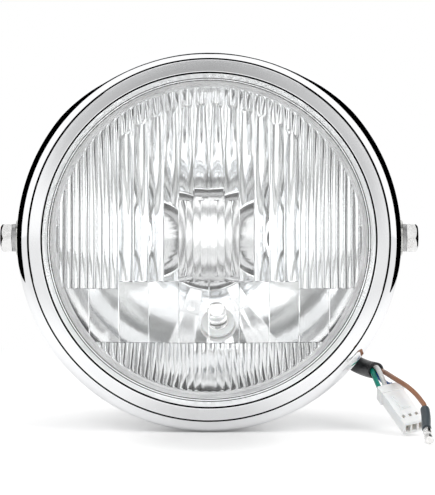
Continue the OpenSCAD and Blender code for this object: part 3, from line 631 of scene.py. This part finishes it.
def paint_shade_rings(material, span, stops):
    """Paints shade into a material's colour in rings, by distance from the lamp's axis. stops are
    (millimetres, grey) pairs up to span.
    """
    nodes, links = material.node_tree.nodes, material.node_tree.links
    surface = nodes["Principled BSDF"]
    plain = surface.inputs["Base Color"].links[0].from_socket
    place = nodes.new("ShaderNodeTexCoord")
    axis = nodes.new("ShaderNodeGroup")
    axis.node_tree = ROUND_THE_AXIS
    share = nodes.new("ShaderNodeMapRange")
    share.inputs["From Max"].default_value = span * MM
    greys = nodes.new("ShaderNodeValToRGB")
    fill_ramp(greys.color_ramp, [(distance / span, grey) for distance, grey in stops])
    shaded = nodes.new("ShaderNodeMix")
    shaded.data_type = "RGBA"
    shaded.blend_type = "MULTIPLY"
    shaded.inputs[0].default_value = 1.0
    links.new(place.outputs["Object"], axis.inputs["Vector"])
    links.new(axis.outputs["Radius"], share.inputs["Value"])
    links.new(share.outputs["Result"], greys.inputs["Fac"])
    links.new(plain, shaded.inputs[COLOUR_A])
    links.new(greys.outputs["Color"], shaded.inputs[COLOUR_B])
    links.new(shaded.outputs[COLOUR_RESULT], surface.inputs["Base Color"])
    return material


COATING = handled("mirror_coating", (0.97, 0.972, 0.975), (0.94, 0.943, 0.947), 0.03, 0.07, patch=30.0,
                  grain=220.0, amount=0.5, relief=0.06, depth=0.0001, metallic=1.0)
# The bright middle of the mirror is ringed by a darker zone of painted shade, standing in for the dark
# surround that the mirror's outer part reflects
paint_shade_rings(COATING, 80.0, [(0, 1.0), (45, 1.0), (51, 0.74), (80, 0.68)])
SATIN_FLANGE = handled("satin_flange", (0.90, 0.90, 0.905), (0.84, 0.84, 0.845), 0.45, 0.55, patch=80.0,
                       grain=900.0, amount=0.5, relief=0.1, metallic=1.0)

NECK_R, NECK_BACK, MIRROR_T = 20, 24, 0.8
SEAT_DEPTH, GLASS_R = -28.0, 79.5
SATIN_FROM = 70.2
edge_r = math.sqrt((POLE - SEAT_DEPTH) * 4 * FOCAL)
dish_r = [NECK_R + (edge_r - NECK_R) * k / 40 for k in range(41)]
mirror_profile = ([mirror_point(r, 0) for r in dish_r]
                  + [(GLASS_R, SEAT_DEPTH), (GLASS_R, SEAT_DEPTH + MIRROR_T)]
                  + [mirror_point(r, MIRROR_T) for r in reversed(dish_r)]
                  + [(NECK_R + MIRROR_T, NECK_BACK), (NECK_R, NECK_BACK)])
reflector = new_object("dressed_reflector", turned("reflector", mirror_profile, 224), "mirror_coating",
                       ("reflector",))
reflector.data.materials.append(COATING)
finish_part(reflector, SATIN_FLANGE, lambda radius, depth, facing: radius > SATIN_FROM)

SIDE_BULB_HOLE, HOLE_REACH = 6.5, 8
hole_across = side_axis.cross(Vector((1, 0, 0))).normalized()
bm = bmesh.new()
add_cylinder(bm, side_foot - side_axis * HOLE_REACH, side_foot + side_axis * HOLE_REACH, hole_across,
             side_axis.cross(hole_across), SIDE_BULB_HOLE)
cut(reflector, bm)


# Lens
# Pressed clear glass, smooth outside and domed, with upright flutes pressed into its inner face in
# zones, so that the beam is spread sideways and cut off level. A plain flange fits the gasket.
def ripple_group():
    """The faint waviness that pressed or blown glass keeps."""
    tree, given, result = group_sockets(
        "glass_ripple", [("Vector", "Vector", None), ("Scale", "Float", 120.0)], [("Height", "Float")])
    noise = tree.nodes.new("ShaderNodeTexNoise")
    noise.inputs["Detail"].default_value = 2.0
    tree.links.new(given.outputs["Vector"], noise.inputs["Vector"])
    tree.links.new(given.outputs["Scale"], noise.inputs["Scale"])
    tree.links.new(noise.outputs["Fac"], result.inputs["Height"])
    return tree


GLASS_RIPPLE = ripple_group()


def clear_glass(name, colour, roughness):
    material, nodes, links, surface = shader(name)
    place = nodes.new("ShaderNodeTexCoord")
    ripple = nodes.new("ShaderNodeGroup")
    ripple.node_tree = GLASS_RIPPLE
    bump = nodes.new("ShaderNodeBump")
    bump.inputs["Strength"].default_value = 0.05
    bump.inputs["Distance"].default_value = 0.0002
    links.new(place.outputs["Object"], ripple.inputs["Vector"])
    links.new(ripple.outputs["Height"], bump.inputs["Height"])
    links.new(bump.outputs["Normal"], surface.inputs["Normal"])
    surface.inputs["Base Color"].default_value = (*colour, 1)
    surface.inputs["Roughness"].default_value = roughness
    surface.inputs["IOR"].default_value = 1.5
    surface.inputs["Transmission Weight"].default_value = 1.0
    return material


PITCH = 3.45
OPEN_R = 72.4
BULGE = 11.4
GLASS_T = 3.5
FLANGE_FRONT, FLANGE_BACK = -32.6, -28.6
DOME_R = 72.8
DOME_SPHERE = (DOME_R ** 2 + BULGE ** 2) / (2 * BULGE)
DOME_CENTRE = FLANGE_FRONT - BULGE + DOME_SPHERE
DOME_RINGS = 25
# Each zone: flute width and flute depth
WIDE, FINE, PANEL, PLAIN = (2 * PITCH, 0.75), (PITCH, 0.36), (PITCH, 0.60), (4 * PITCH, 0.03)
WIDE_R, WIDE_X, PANEL_X = 62.0, 12 * PITCH, 4 * PITCH
# Levels where the zones meet
FOOT_TOP, SIDE_FOOT, WIDE_FOOT, PANEL_FOOT, PANEL_TOP = -47.1, -22.1, -18.7, -16.1, 18.4
STEP_HALF = 0.12
RIB_H, RIB_HALF = 0.14, 0.25
FLUTED_R, FADE = 71.5, 0.9
SEAT_R, SEAT_SIDES = 71.8, 640
COLUMNS_A_FLUTE, ROWS = 6, 81


def lens_zone(x, z):
    """The flutes' width and depth at a place on the inner face."""
    if z < FOOT_TOP:
        return FINE
    if z < (WIDE_FOOT if abs(x) < WIDE_X else SIDE_FOOT):
        return PLAIN
    if abs(x) < PANEL_X and PANEL_FOOT < z < PANEL_TOP:
        return PANEL
    if math.hypot(x, z) > WIDE_R or abs(x) > WIDE_X:
        return FINE
    return WIDE


def inner_depth(x, z):
    """How deep the inner face lies at a place, with its flutes, and a rib where two flutes meet."""
    pitch, depth = lens_zone(x, z)
    depth *= min(1.0, max(0.0, (FLUTED_R - math.hypot(x, z)) / FADE))
    rib = RIB_H * max(0.0, 1 - abs(x - pitch * round(x / pitch)) / RIB_HALF) if depth else 0.0
    u = x / pitch - math.floor(x / pitch + 1e-6)
    inner = DOME_SPHERE - GLASS_T - depth * 4 * u * (1 - u) - rib
    return DOME_CENTRE - math.sqrt(inner ** 2 - x * x - z * z)


def fluted_grid(bm):
    """The fluted part of the inner face, with its rows and columns drawn in to a round edge."""
    last_column, last_flute = int(FLUTED_R / PITCH * COLUMNS_A_FLUTE), int(FLUTED_R / PITCH)
    columns = sorted([PITCH * k / COLUMNS_A_FLUTE for k in range(-last_column, last_column + 1)]
                     + [PITCH * k + side for k in range(-last_flute, last_flute + 1)
                        for side in (-RIB_HALF, RIB_HALF)])
    rows = sorted([FLUTED_R * k / ROWS for k in range(-ROWS, ROWS + 1)]
                  + [z + side for z in (FOOT_TOP, SIDE_FOOT, WIDE_FOOT, PANEL_FOOT, PANEL_TOP)
                     for side in (-STEP_HALF, STEP_HALF)])
    grid = []
    for x in columns:
        reach = math.sqrt(max(FLUTED_R ** 2 - x * x, 0.0))
        heights = [max(-reach, min(reach, z)) for z in rows]
        grid.append([bm.verts.new((x * MM, inner_depth(x, z) * MM, z * MM)) for z in heights])
    for a, b in zip(grid, grid[1:]):
        for k in range(len(rows) - 1):
            bm.faces.new((a[k], a[k + 1], b[k + 1], b[k]))
    bmesh.ops.remove_doubles(bm, verts=bm.verts, dist=1e-6)
    bmesh.ops.dissolve_degenerate(bm, dist=1e-7, edges=bm.edges)


def lens_mesh():
    bm = bmesh.new()
    fluted_grid(bm)
    fluted_edge = [e for e in bm.edges if e.is_boundary]
    turns = [2 * math.pi * k / SEAT_SIDES for k in range(SEAT_SIDES)]
    seat_y = inner_depth(SEAT_R, 0) * MM
    seat = [bm.verts.new((SEAT_R * math.cos(a) * MM, seat_y, SEAT_R * math.sin(a) * MM)) for a in turns]
    boundary = [bm.edges.new((a, b)) for a, b in zip(seat, seat[1:] + seat[:1])]
    bmesh.ops.bridge_loops(bm, edges=fluted_edge + boundary)
    rings = [(r, inner_depth(r, 0)) for r in (SEAT_R + 0.3, OPEN_R)]
    rings += [(OPEN_R, FLANGE_BACK), (GLASS_R, FLANGE_BACK), (GLASS_R, FLANGE_FRONT + 1),
              (GLASS_R - 1, FLANGE_FRONT)]
    # The dome's rings stand a little closer together near the flange
    for k in range(DOME_RINGS + 1):
        r = DOME_R * (1 - k / DOME_RINGS) ** 0.8
        rings.append((max(r, 0.4), DOME_CENTRE - math.sqrt(DOME_SPHERE ** 2 - r * r)))
    for radius, depth in rings:
        made = bmesh.ops.extrude_edge_only(bm, edges=boundary)["geom"]
        for v in (g for g in made if isinstance(g, bmesh.types.BMVert)):
            turn = math.atan2(v.co.z, v.co.x)
            v.co = (radius * math.cos(turn) * MM, depth * MM, radius * math.sin(turn) * MM)
        boundary = [g for g in made if isinstance(g, bmesh.types.BMEdge)]
    bmesh.ops.contextual_create(bm, geom=boundary)
    return finish_mesh(bm, "lens", 22.0)


def on_ground_edge(radius, depth, facing):
    """The outside and the back of the flange, where it sits in the gasket and on the mirror."""
    return radius > OPEN_R - 0.3 and depth > FLANGE_FRONT + 0.3


LENS_GLASS = clear_glass("lens_glass", (0.995, 0.999, 0.998), 0.0)
GROUND_EDGE = clear_glass("ground_glass_edge", (0.97, 0.975, 0.975), 0.4)
lens = new_object("dressed_lens", lens_mesh(), "lens_glass", ("lens",))
lens.data.materials.append(LENS_GLASS)
finish_part(lens, GROUND_EDGE, on_ground_edge)


# Bulb shield
# A dished and plated steel cap that hides the main bulb from the front, on two short legs that are
# riveted to the mirror on each side of the small bulb.
SHIELD_CHROME = handled("shield_chrome", (0.90, 0.905, 0.91), (0.84, 0.845, 0.85), 0.06, 0.14, patch=60.0,
                        grain=600.0, amount=0.6, relief=0.08, metallic=1.0)
# A darker copy of the shield's plate for its dished face, which carries a painted reflection
PAINTED_SHIELD_FACE = handled("shield_face", (0.72, 0.725, 0.73), (0.66, 0.665, 0.67), 0.10, 0.2, patch=60.0,
                      grain=600.0, amount=0.6, relief=0.08, metallic=1.0)
# The dished face is a darker copy of the shield's plate with a painted reflection: a dark ring round its
# middle, and painted shade at its turned edge
paint_shade_rings(PAINTED_SHIELD_FACE, 30.0, [(0, 0.74), (10.5, 0.74), (13, 0.34), (14.5, 0.34), (17, 0.72), (21.6, 0.68),
                          (22.4, 0.08), (24.6, 0.05)])
SHIELD_R = 24.6


def on_shield_face(radius, depth, facing):
    """The front of the shield, without its skirt."""
    return radius < SHIELD_R and facing < -0.4


shield = softened("bulb_shield", SHIELD_CHROME, "shield_chrome", 0.0, 28)
# The shield's front takes the darker plate with its painted reflection
finish_part(shield, PAINTED_SHIELD_FACE, on_shield_face)


# Small parts
# The bulbs, their holders and the seals show faintly through the lens, or not at all. The hook, the
# brackets, nuts and screws are plated steel, and hold the rim to the bowl.
RUBBER = handled("black_rubber", (0.022, 0.022, 0.024), (0.045, 0.045, 0.047), 0.55, 0.8, patch=70.0,
                 grain=1400.0, amount=0.6, relief=0.35)
ZINC = handled("plated_steel", (0.62, 0.62, 0.60), (0.50, 0.50, 0.47), 0.22, 0.42, patch=160.0,
               grain=2200.0, amount=0.5, relief=0.15, metallic=1.0)
BULB_GLASS = clear_glass("bulb_glass", (0.985, 0.99, 0.995), 0.0)
TUNGSTEN = handled("tungsten", (0.62, 0.62, 0.61), (0.50, 0.50, 0.49), 0.25, 0.45, patch=900.0,
                   grain=6000.0, amount=0.5, relief=0.2, metallic=1.0)
BROWN_PLASTIC = handled("brown_plastic", (0.055, 0.026, 0.014), (0.035, 0.017, 0.010), 0.3, 0.5,
                        patch=120.0, grain=1500.0, amount=0.5, relief=0.12)

# Each piece: its node, material, slot, the width that its edges are eased by, and its sharp angle
SMALL_PARTS = [
    ("lens_gasket", RUBBER, "black_rubber", 0, 35),
    ("side_bulb", BULB_GLASS, "bulb_glass", 0, 35),
    ("side_bulb_socket", TIN, "tin_plate", 0.2, 35),
    ("side_bulb_grommet", NYLON, "white_nylon", 0.3, 35),
    ("main_bulb_glass", BULB_GLASS, "bulb_glass", 0, 50),
    ("bulb_filaments", TUNGSTEN, "tungsten", 0, 35),
    ("bulb_base", TIN, "tin_plate", 0.15, 35),
    ("bulb_holder", BROWN_PLASTIC, "brown_plastic", 0.3, 35),
    ("holder_terminals", BRASS, "brass", 0.1, 35),
    ("bulb_collar", SHIELD_CHROME, "shield_chrome", 0, 35),
    ("dust_boot", RUBBER, "black_rubber", 0.3, 50),
    ("shield_rivets", SHIELD_CHROME, "shield_chrome", 0.2, 35),
    ("rim_hook", ZINC, "plated_steel", 0.1, 35),
    ("rim_brackets", ZINC, "plated_steel", 0.1, 35),
    ("rim_nuts", ZINC, "plated_steel", 0.2, 35),
    ("rim_screws", ZINC, "plated_steel", 0.2, 35),
    ("wire_grommet", RUBBER, "black_rubber", 0.4, 35),
    ("inner_green_wire", GREEN, "green_vinyl", 0, 60),
    ("inner_white_wire", WHITE, "white_vinyl", 0, 60),
    ("inner_blue_wire", BLUE, "blue_vinyl", 0, 60),
    ("inner_brown_wire", BROWN, "brown_vinyl", 0, 60)]
for node, material, slot, width, sharp in SMALL_PARTS:
    softened(node, material, slot, width, sharp)


# Retainer clips
# Spring-steel clips hold the mirror and the glass in the rim. One clip is modelled, and a node tree
# sets it out evenly round the axis.
CLIP_FOOT = -27.2
CLIP_PROFILE = [(74, 0), (81.6, 0), (82.8, 2.6), (88, 2.6), (88, 3.4), (82.2, 3.4), (81, 0.8), (74, 0.8)]
CLIP_COUNT, CLIP_FIRST = 4, math.radians(45)
CLIP_TURN, CLIP_STEPS = math.radians(9), 6


def one_clip():
    bm = bmesh.new()
    rings = []
    for k in range(CLIP_STEPS + 1):
        a = CLIP_TURN * (k / CLIP_STEPS - 0.5)
        section = [(radius * math.cos(a), CLIP_FOOT + rise, radius * math.sin(a))
                   for radius, rise in CLIP_PROFILE]
        rings.append([bm.verts.new(Vector(corner) * MM) for corner in section])
    sides = len(CLIP_PROFILE)
    for a, b in zip(rings, rings[1:]):
        for k in range(sides):
            bm.faces.new((a[k], a[(k + 1) % sides], b[(k + 1) % sides], b[k]))
    bm.faces.new(rings[0])
    bm.faces.new(rings[-1])
    return finish_mesh(bm, "retainer_clip")


def set_round_tree():
    """Sets copies of the incoming mesh round the Y axis."""
    tree = bpy.data.node_groups.new("set_round", "GeometryNodeTree")
    for label, kind in (("Geometry", "Geometry"), ("Count", "Int"), ("First Angle", "Float"),
                        ("Material", "Material")):
        tree.interface.new_socket(label, in_out="INPUT", socket_type="NodeSocket" + kind)
    tree.interface.new_socket("Geometry", in_out="OUTPUT", socket_type="NodeSocketGeometry")
    nodes, links = tree.nodes, tree.links
    given, result = nodes.new("NodeGroupInput"), nodes.new("NodeGroupOutput")
    places = nodes.new("GeometryNodePoints")
    number = nodes.new("GeometryNodeInputIndex")
    step = worked(nodes, "ShaderNodeMath", "DIVIDE", 2 * math.pi)
    angle = worked(nodes, "ShaderNodeMath", "MULTIPLY_ADD")
    turn = nodes.new("ShaderNodeCombineXYZ")
    copies = nodes.new("GeometryNodeInstanceOnPoints")
    solid = nodes.new("GeometryNodeRealizeInstances")
    coated = nodes.new("GeometryNodeSetMaterial")
    links.new(given.outputs["Count"], places.inputs["Count"])
    links.new(given.outputs["Count"], step.inputs[1])
    links.new(number.outputs[0], angle.inputs[0])
    links.new(step.outputs[0], angle.inputs[1])
    links.new(given.outputs["First Angle"], angle.inputs[2])
    links.new(angle.outputs[0], turn.inputs["Y"])
    links.new(places.outputs[0], copies.inputs["Points"])
    links.new(given.outputs["Geometry"], copies.inputs["Instance"])
    links.new(turn.outputs[0], copies.inputs["Rotation"])
    links.new(copies.outputs[0], solid.inputs[0])
    links.new(solid.outputs[0], coated.inputs["Geometry"])
    links.new(given.outputs["Material"], coated.inputs["Material"])
    links.new(coated.outputs[0], result.inputs[0])
    return tree


seed_clip = bpy.data.objects.new("seed_clip", one_clip())
bpy.context.collection.objects.link(seed_clip)
set_round = seed_clip.modifiers.new("set round", "NODES")
set_round.node_group = set_round_tree()
clip_settings = {"Count": CLIP_COUNT, "First Angle": CLIP_FIRST, "Material": ZINC}
for socket in set_round.node_group.interface.items_tree:
    if socket.in_out == "INPUT" and socket.name in clip_settings:
        set_round[socket.identifier] = clip_settings[socket.name]
clips_mesh = bpy.data.meshes.new_from_object(seed_clip.evaluated_get(bpy.context.evaluated_depsgraph_get()))
bpy.data.objects.remove(seed_clip)
new_object("dressed_retainer_clips", clips_mesh, "plated_steel", ("retainer_clips",))


# Side bolts
# On each side a boss, washers and a hexagon bolt hold the lamp between the fork's ears. The heads
# are forged and zinc plated, and chamfered on their outer face.
BLACK_STEEL = handled("black_steel", (0.50, 0.50, 0.50), (0.38, 0.38, 0.385), 0.32, 0.5, patch=200.0,
                      grain=2500.0, amount=0.5, relief=0.15, metallic=1.0)
BOLT_ZINC = handled("bolt_zinc", (0.82, 0.82, 0.815), (0.70, 0.70, 0.69), 0.16, 0.30, patch=220.0,
                    grain=2600.0, amount=0.6, relief=0.2, metallic=1.0)
for side in ("left", "right"):
    softened(side + "_boss", BOWL_CHROME, "bowl_chrome", 0.4)
    softened(side + "_weld_nut", ZINC, "plated_steel", 0.2)
    softened(side + "_washer", ZINC, "plated_steel", 0.2)
    softened(side + "_spring_washer", BLACK_STEEL, "black_steel", 0.15)
    softened(side + "_bolt", BOLT_ZINC, "bolt_zinc", 0.35)


# Studio
# A pale floor under a white surround, and a few soft lamps. Dark strips and a grey arc that only
# mirrors see give the chrome its dark edges and the flat band of the rim its grey.
FLOOR_Z = -0.089
# The floor takes shadows up to the first distance, and is plain white from the second one on
FLOOR_LIT, FLOOR_WHITE = 0.16, 0.42
# The painted contact shadow where the lamp stands: half its width and depth, and how far forward its middle
# lies
CONTACT_WIDE, CONTACT_DEEP, CONTACT_FORWARD = 0.055, 0.075, 0.06
# The floor's own glow near the lamp, and the share of it that is left in the painted contact shadow
NEAR_GLOW, CONTACT_GLOW = 0.30, 0.2
# What is added to that glow where the floor is seen in a mirror, and where it is seen through glass
MIRRORED_LESS, THROUGH_MORE = -0.04, 0.5


def plane(name, quads, material):
    """Four-cornered sheets in one object that belongs to the studio."""
    mesh = bpy.data.meshes.new(name)
    mesh.from_pydata([corner for quad in quads for corner in quad], [],
                     [tuple(range(4 * k, 4 * k + 4)) for k in range(len(quads))])
    mesh.materials.append(material)
    piece = new_object(name, mesh)
    return piece


def eased_range(nodes, **ends):
    """A MapRange node with soft ends."""
    node = nodes.new("ShaderNodeMapRange")
    node.interpolation_type = "SMOOTHSTEP"
    for label, value in ends.items():
        node.inputs[label.replace("_", " ")].default_value = value
    return node


def floor_paper():
    """Pale paper that takes the lamp's shadow close by, with a painted contact shadow where the lamp stands,
    and is plain white further off.
    """
    material, nodes, links, surface = shader("floor_paper")
    surface.inputs["Roughness"].default_value = 0.9
    surface.inputs["Specular IOR Level"].default_value = 0.0
    surface.inputs["Emission Color"].default_value = (1, 1, 1, 1)
    place = nodes.new("ShaderNodeTexCoord")

    distance = worked(nodes, "ShaderNodeVectorMath", "LENGTH")
    away = eased_range(nodes, From_Min=FLOOR_LIT, From_Max=FLOOR_WHITE)
    colour = nodes.new("ShaderNodeMix")
    colour.data_type = "RGBA"
    colour.inputs[COLOUR_A].default_value = (0.82, 0.82, 0.82, 1)
    colour.inputs[COLOUR_B].default_value = (0, 0, 0, 1)
    glow = nodes.new("ShaderNodeMapRange")
    glow.inputs["To Min"].default_value = NEAR_GLOW
    links.new(place.outputs["Object"], distance.inputs[0])
    links.new(distance.outputs["Value"], away.inputs["Value"])
    links.new(away.outputs["Result"], colour.inputs[0])
    links.new(colour.outputs[COLOUR_RESULT], surface.inputs["Base Color"])
    links.new(away.outputs["Result"], glow.inputs["Value"])

    # Painted contact shadow: the floor's glow drops to a share of itself in a soft patch in front of where
    # the lamp stands
    beside = worked(nodes, "ShaderNodeVectorMath", "MULTIPLY_ADD", None,
                    (1 / CONTACT_WIDE, 1 / CONTACT_DEEP, 0), (0, CONTACT_FORWARD / CONTACT_DEEP, 0))
    reach = worked(nodes, "ShaderNodeVectorMath", "LENGTH")
    painted_contact_shadow = eased_range(nodes, From_Min=0.2, To_Min=CONTACT_GLOW)
    shaded = worked(nodes, "ShaderNodeMath", "MULTIPLY")
    links.new(place.outputs["Object"], beside.inputs[0])
    links.new(beside.outputs[0], reach.inputs[0])
    links.new(reach.outputs["Value"], painted_contact_shadow.inputs["Value"])
    links.new(painted_contact_shadow.outputs["Result"], shaded.inputs[0])
    links.new(glow.outputs["Result"], shaded.inputs[1])

    rays = nodes.new("ShaderNodeLightPath")
    indirect = worked(nodes, "ShaderNodeMath", "MAXIMUM")
    seen = worked(nodes, "ShaderNodeMath", "MAXIMUM")
    mirrored = worked(nodes, "ShaderNodeMath", "MULTIPLY_ADD", None, MIRRORED_LESS)
    through = worked(nodes, "ShaderNodeMath", "MULTIPLY_ADD", None, THROUGH_MORE)
    strength = worked(nodes, "ShaderNodeMath", "MULTIPLY")
    links.new(rays.outputs["Is Glossy Ray"], indirect.inputs[0])
    links.new(rays.outputs["Is Transmission Ray"], indirect.inputs[1])
    links.new(rays.outputs["Is Camera Ray"], seen.inputs[0])
    links.new(indirect.outputs[0], seen.inputs[1])
    links.new(indirect.outputs[0], mirrored.inputs[0])
    links.new(shaded.outputs[0], mirrored.inputs[2])
    links.new(rays.outputs["Is Transmission Ray"], through.inputs[0])
    links.new(mirrored.outputs[0], through.inputs[2])
    links.new(through.outputs[0], strength.inputs[0])
    links.new(seen.outputs[0], strength.inputs[1])
    links.new(strength.outputs[0], surface.inputs["Emission Strength"])
    return material


plane("floor", [[(-4, -4, FLOOR_Z), (4, -4, FLOOR_Z), (4, 6, FLOOR_Z), (-4, 6, FLOOR_Z)]], floor_paper())

# A dark strip bends round each side of the lamp, a short way out. Each station gives an angle up from
# the strip's own side, and the two directions, turned from the way the lamp shines, between which the
# roll of the rim mirrors it.
STRIP_R, STRIP_DEPTH, STRIP_STEPS = 0.165, -0.037, 60
LEFT_STATIONS = [(-13.8, 88, 92), (-11.5, 81, 132), (-8, 78, 168), (4, 76, 170), (36, 75, 168),
                 (47, 73, 120), (56, 70, 86), (63, 67, 77), (72, 62, 72), (90, 56, 70)]
RIGHT_STATIONS = [(-17, 84, 92), (-13.8, 80, 128), (-9.5, 78, 168), (4, 76, 170), (38, 74, 168),
                  (50, 72, 122), (59, 69, 90), (67, 66, 77), (77, 61, 71), (90, 56, 70)]


def mirrors_only(piece):
    piece.visible_camera = False
    piece.visible_transmission = False
    piece.visible_diffuse = False
    piece.visible_shadow = False


def glowing(name):
    """A new material that only gives off light, and its emission node."""
    material, nodes, links, surface = shader(name)
    nodes.remove(surface)
    glow = nodes.new("ShaderNodeEmission")
    links.new(glow.outputs[0], nodes["Material Output"].inputs["Surface"])
    return material, nodes, links, glow


def strip_point(side, up, direction):
    """Where a ray from the rim's edge, going in a direction, meets the strip's own circle."""
    reach = STRIP_R - RIM_R * MM
    depth = STRIP_DEPTH - reach / math.tan(math.radians(direction))
    return (side * STRIP_R * math.cos(math.radians(up)), depth, STRIP_R * math.sin(math.radians(up)))


def strip_quads(side, stations):
    first = stations[0][0]
    rows = []
    for k in range(STRIP_STEPS + 1):
        up = first + (90 - first) * k / STRIP_STEPS
        low, high = next((a, b) for a, b in zip(stations, stations[1:]) if up <= b[0] + 1e-6)
        t = (up - low[0]) / (high[0] - low[0])
        rows.append([strip_point(side, up, low[i] + (high[i] - low[i]) * t) for i in (1, 2)])
    return [(a[0], a[1], b[1], b[0]) for a, b in zip(rows, rows[1:])]


for name, side, stations in (("left_strip", -1, LEFT_STATIONS), ("right_strip", 1, RIGHT_STATIONS)):
    material, nodes, links, glow = glowing(name)
    glow.inputs["Color"].default_value = (0, 0, 0, 1)
    mirrors_only(plane(name, strip_quads(side, stations), material))

# A pale grey arc stands in front of the lamp, where the flat band of the rim mirrors it. It is darkest
# above the lamp and fades out towards its ends. Each stop gives an angle up from +X, and a grey.
ARC_Y, ARC_NEAR, ARC_FAR, ARC_STEPS = -1.25, 0.30, 1.00, 48
ARC_STOPS = [(-60, 0.98), (-5, 0.95), (20, 0.70), (45, 0.66), (90, 0.46), (120, 0.54), (150, 0.70),
             (172, 1.2)]
ARC_LOW, ARC_HIGH = ARC_STOPS[0][0], ARC_STOPS[-1][0]


def arc_point(turn, radius):
    return (radius * math.cos(math.radians(turn)), ARC_Y, radius * math.sin(math.radians(turn)))


def arc_paper():
    material, nodes, links, glow = glowing("arc_paper")
    place = nodes.new("ShaderNodeTexCoord")
    apart = nodes.new("ShaderNodeSeparateXYZ")
    turn = worked(nodes, "ShaderNodeMath", "ARCTAN2")
    share = nodes.new("ShaderNodeMapRange")
    share.inputs["From Min"].default_value = math.radians(ARC_LOW)
    share.inputs["From Max"].default_value = math.radians(ARC_HIGH)
    greys = nodes.new("ShaderNodeValToRGB")
    span = ARC_HIGH - ARC_LOW
    fill_ramp(greys.color_ramp, [((angle - ARC_LOW) / span, grey) for angle, grey in ARC_STOPS])
    links.new(place.outputs["Object"], apart.inputs[0])
    links.new(apart.outputs["Z"], turn.inputs[0])
    links.new(apart.outputs["X"], turn.inputs[1])
    links.new(turn.outputs[0], share.inputs["Value"])
    links.new(share.outputs["Result"], greys.inputs["Fac"])
    links.new(greys.outputs["Color"], glow.inputs["Color"])
    return material


turns = [ARC_LOW + (ARC_HIGH - ARC_LOW) * k / ARC_STEPS for k in range(ARC_STEPS + 1)]
arc_quads = [(arc_point(a, ARC_NEAR), arc_point(b, ARC_NEAR), arc_point(b, ARC_FAR), arc_point(a, ARC_FAR))
             for a, b in zip(turns, turns[1:])]
mirrors_only(plane("band_arc", arc_quads, arc_paper()))

# How bright the surround is on matt faces, in mirrors and through glass. The camera sees it as white.
WORLD_LIGHT, WORLD_MIRRORED, WORLD_IN_GLASS = 0.6, 1.2, 2.2
world = bpy.data.worlds.new("surround")
bpy.context.scene.world = world
world.use_nodes = True
nodes, links = world.node_tree.nodes, world.node_tree.links
rays = nodes.new("ShaderNodeLightPath")
level = nodes.new("ShaderNodeValue")
level.outputs[0].default_value = WORLD_LIGHT
for kind, value in (("Is Camera Ray", 1.0), ("Is Glossy Ray", WORLD_MIRRORED),
                    ("Is Transmission Ray", WORLD_IN_GLASS)):
    chosen = nodes.new("ShaderNodeMix")
    chosen.inputs[VALUE_B].default_value = value
    links.new(rays.outputs[kind], chosen.inputs[0])
    links.new(level.outputs[0], chosen.inputs[VALUE_A])
    level = chosen
links.new(level.outputs[0], nodes["Background"].inputs["Strength"])
nodes["Background"].inputs["Color"].default_value = (1, 1, 1, 1)


def soft_lamp(name, where, aim, size, power):
    data = bpy.data.lights.new(name, "AREA")
    data.shape = "RECTANGLE"
    data.size, data.size_y = size
    data.energy = power
    lamp = bpy.data.objects.new(name, data)
    bpy.context.collection.objects.link(lamp)
    lamp.location = where
    lamp.rotation_euler = (Vector(aim) - Vector(where)).to_track_quat("-Z", "Y").to_euler()
    lamp.visible_camera = False
    lamp.visible_glossy = False
    lamp.visible_transmission = False


soft_lamp("key_lamp", (-0.9, -0.9, 1.3), (0, 0, -0.03), (1.0, 0.8), 9)
soft_lamp("fill_lamp", (1.1, -0.7, 0.8), (0, 0, -0.03), (0.9, 0.9), 7)
soft_lamp("top_lamp", (0, 0.3, 1.4), (0, 0, -0.05), (1.2, 1.0), 7)

bpy.context.scene.cycles.max_bounces = 40
bpy.context.scene.cycles.glossy_bounces = 24
bpy.context.scene.cycles.transmission_bounces = 40
bpy.context.scene.view_settings.view_transform = "Standard"
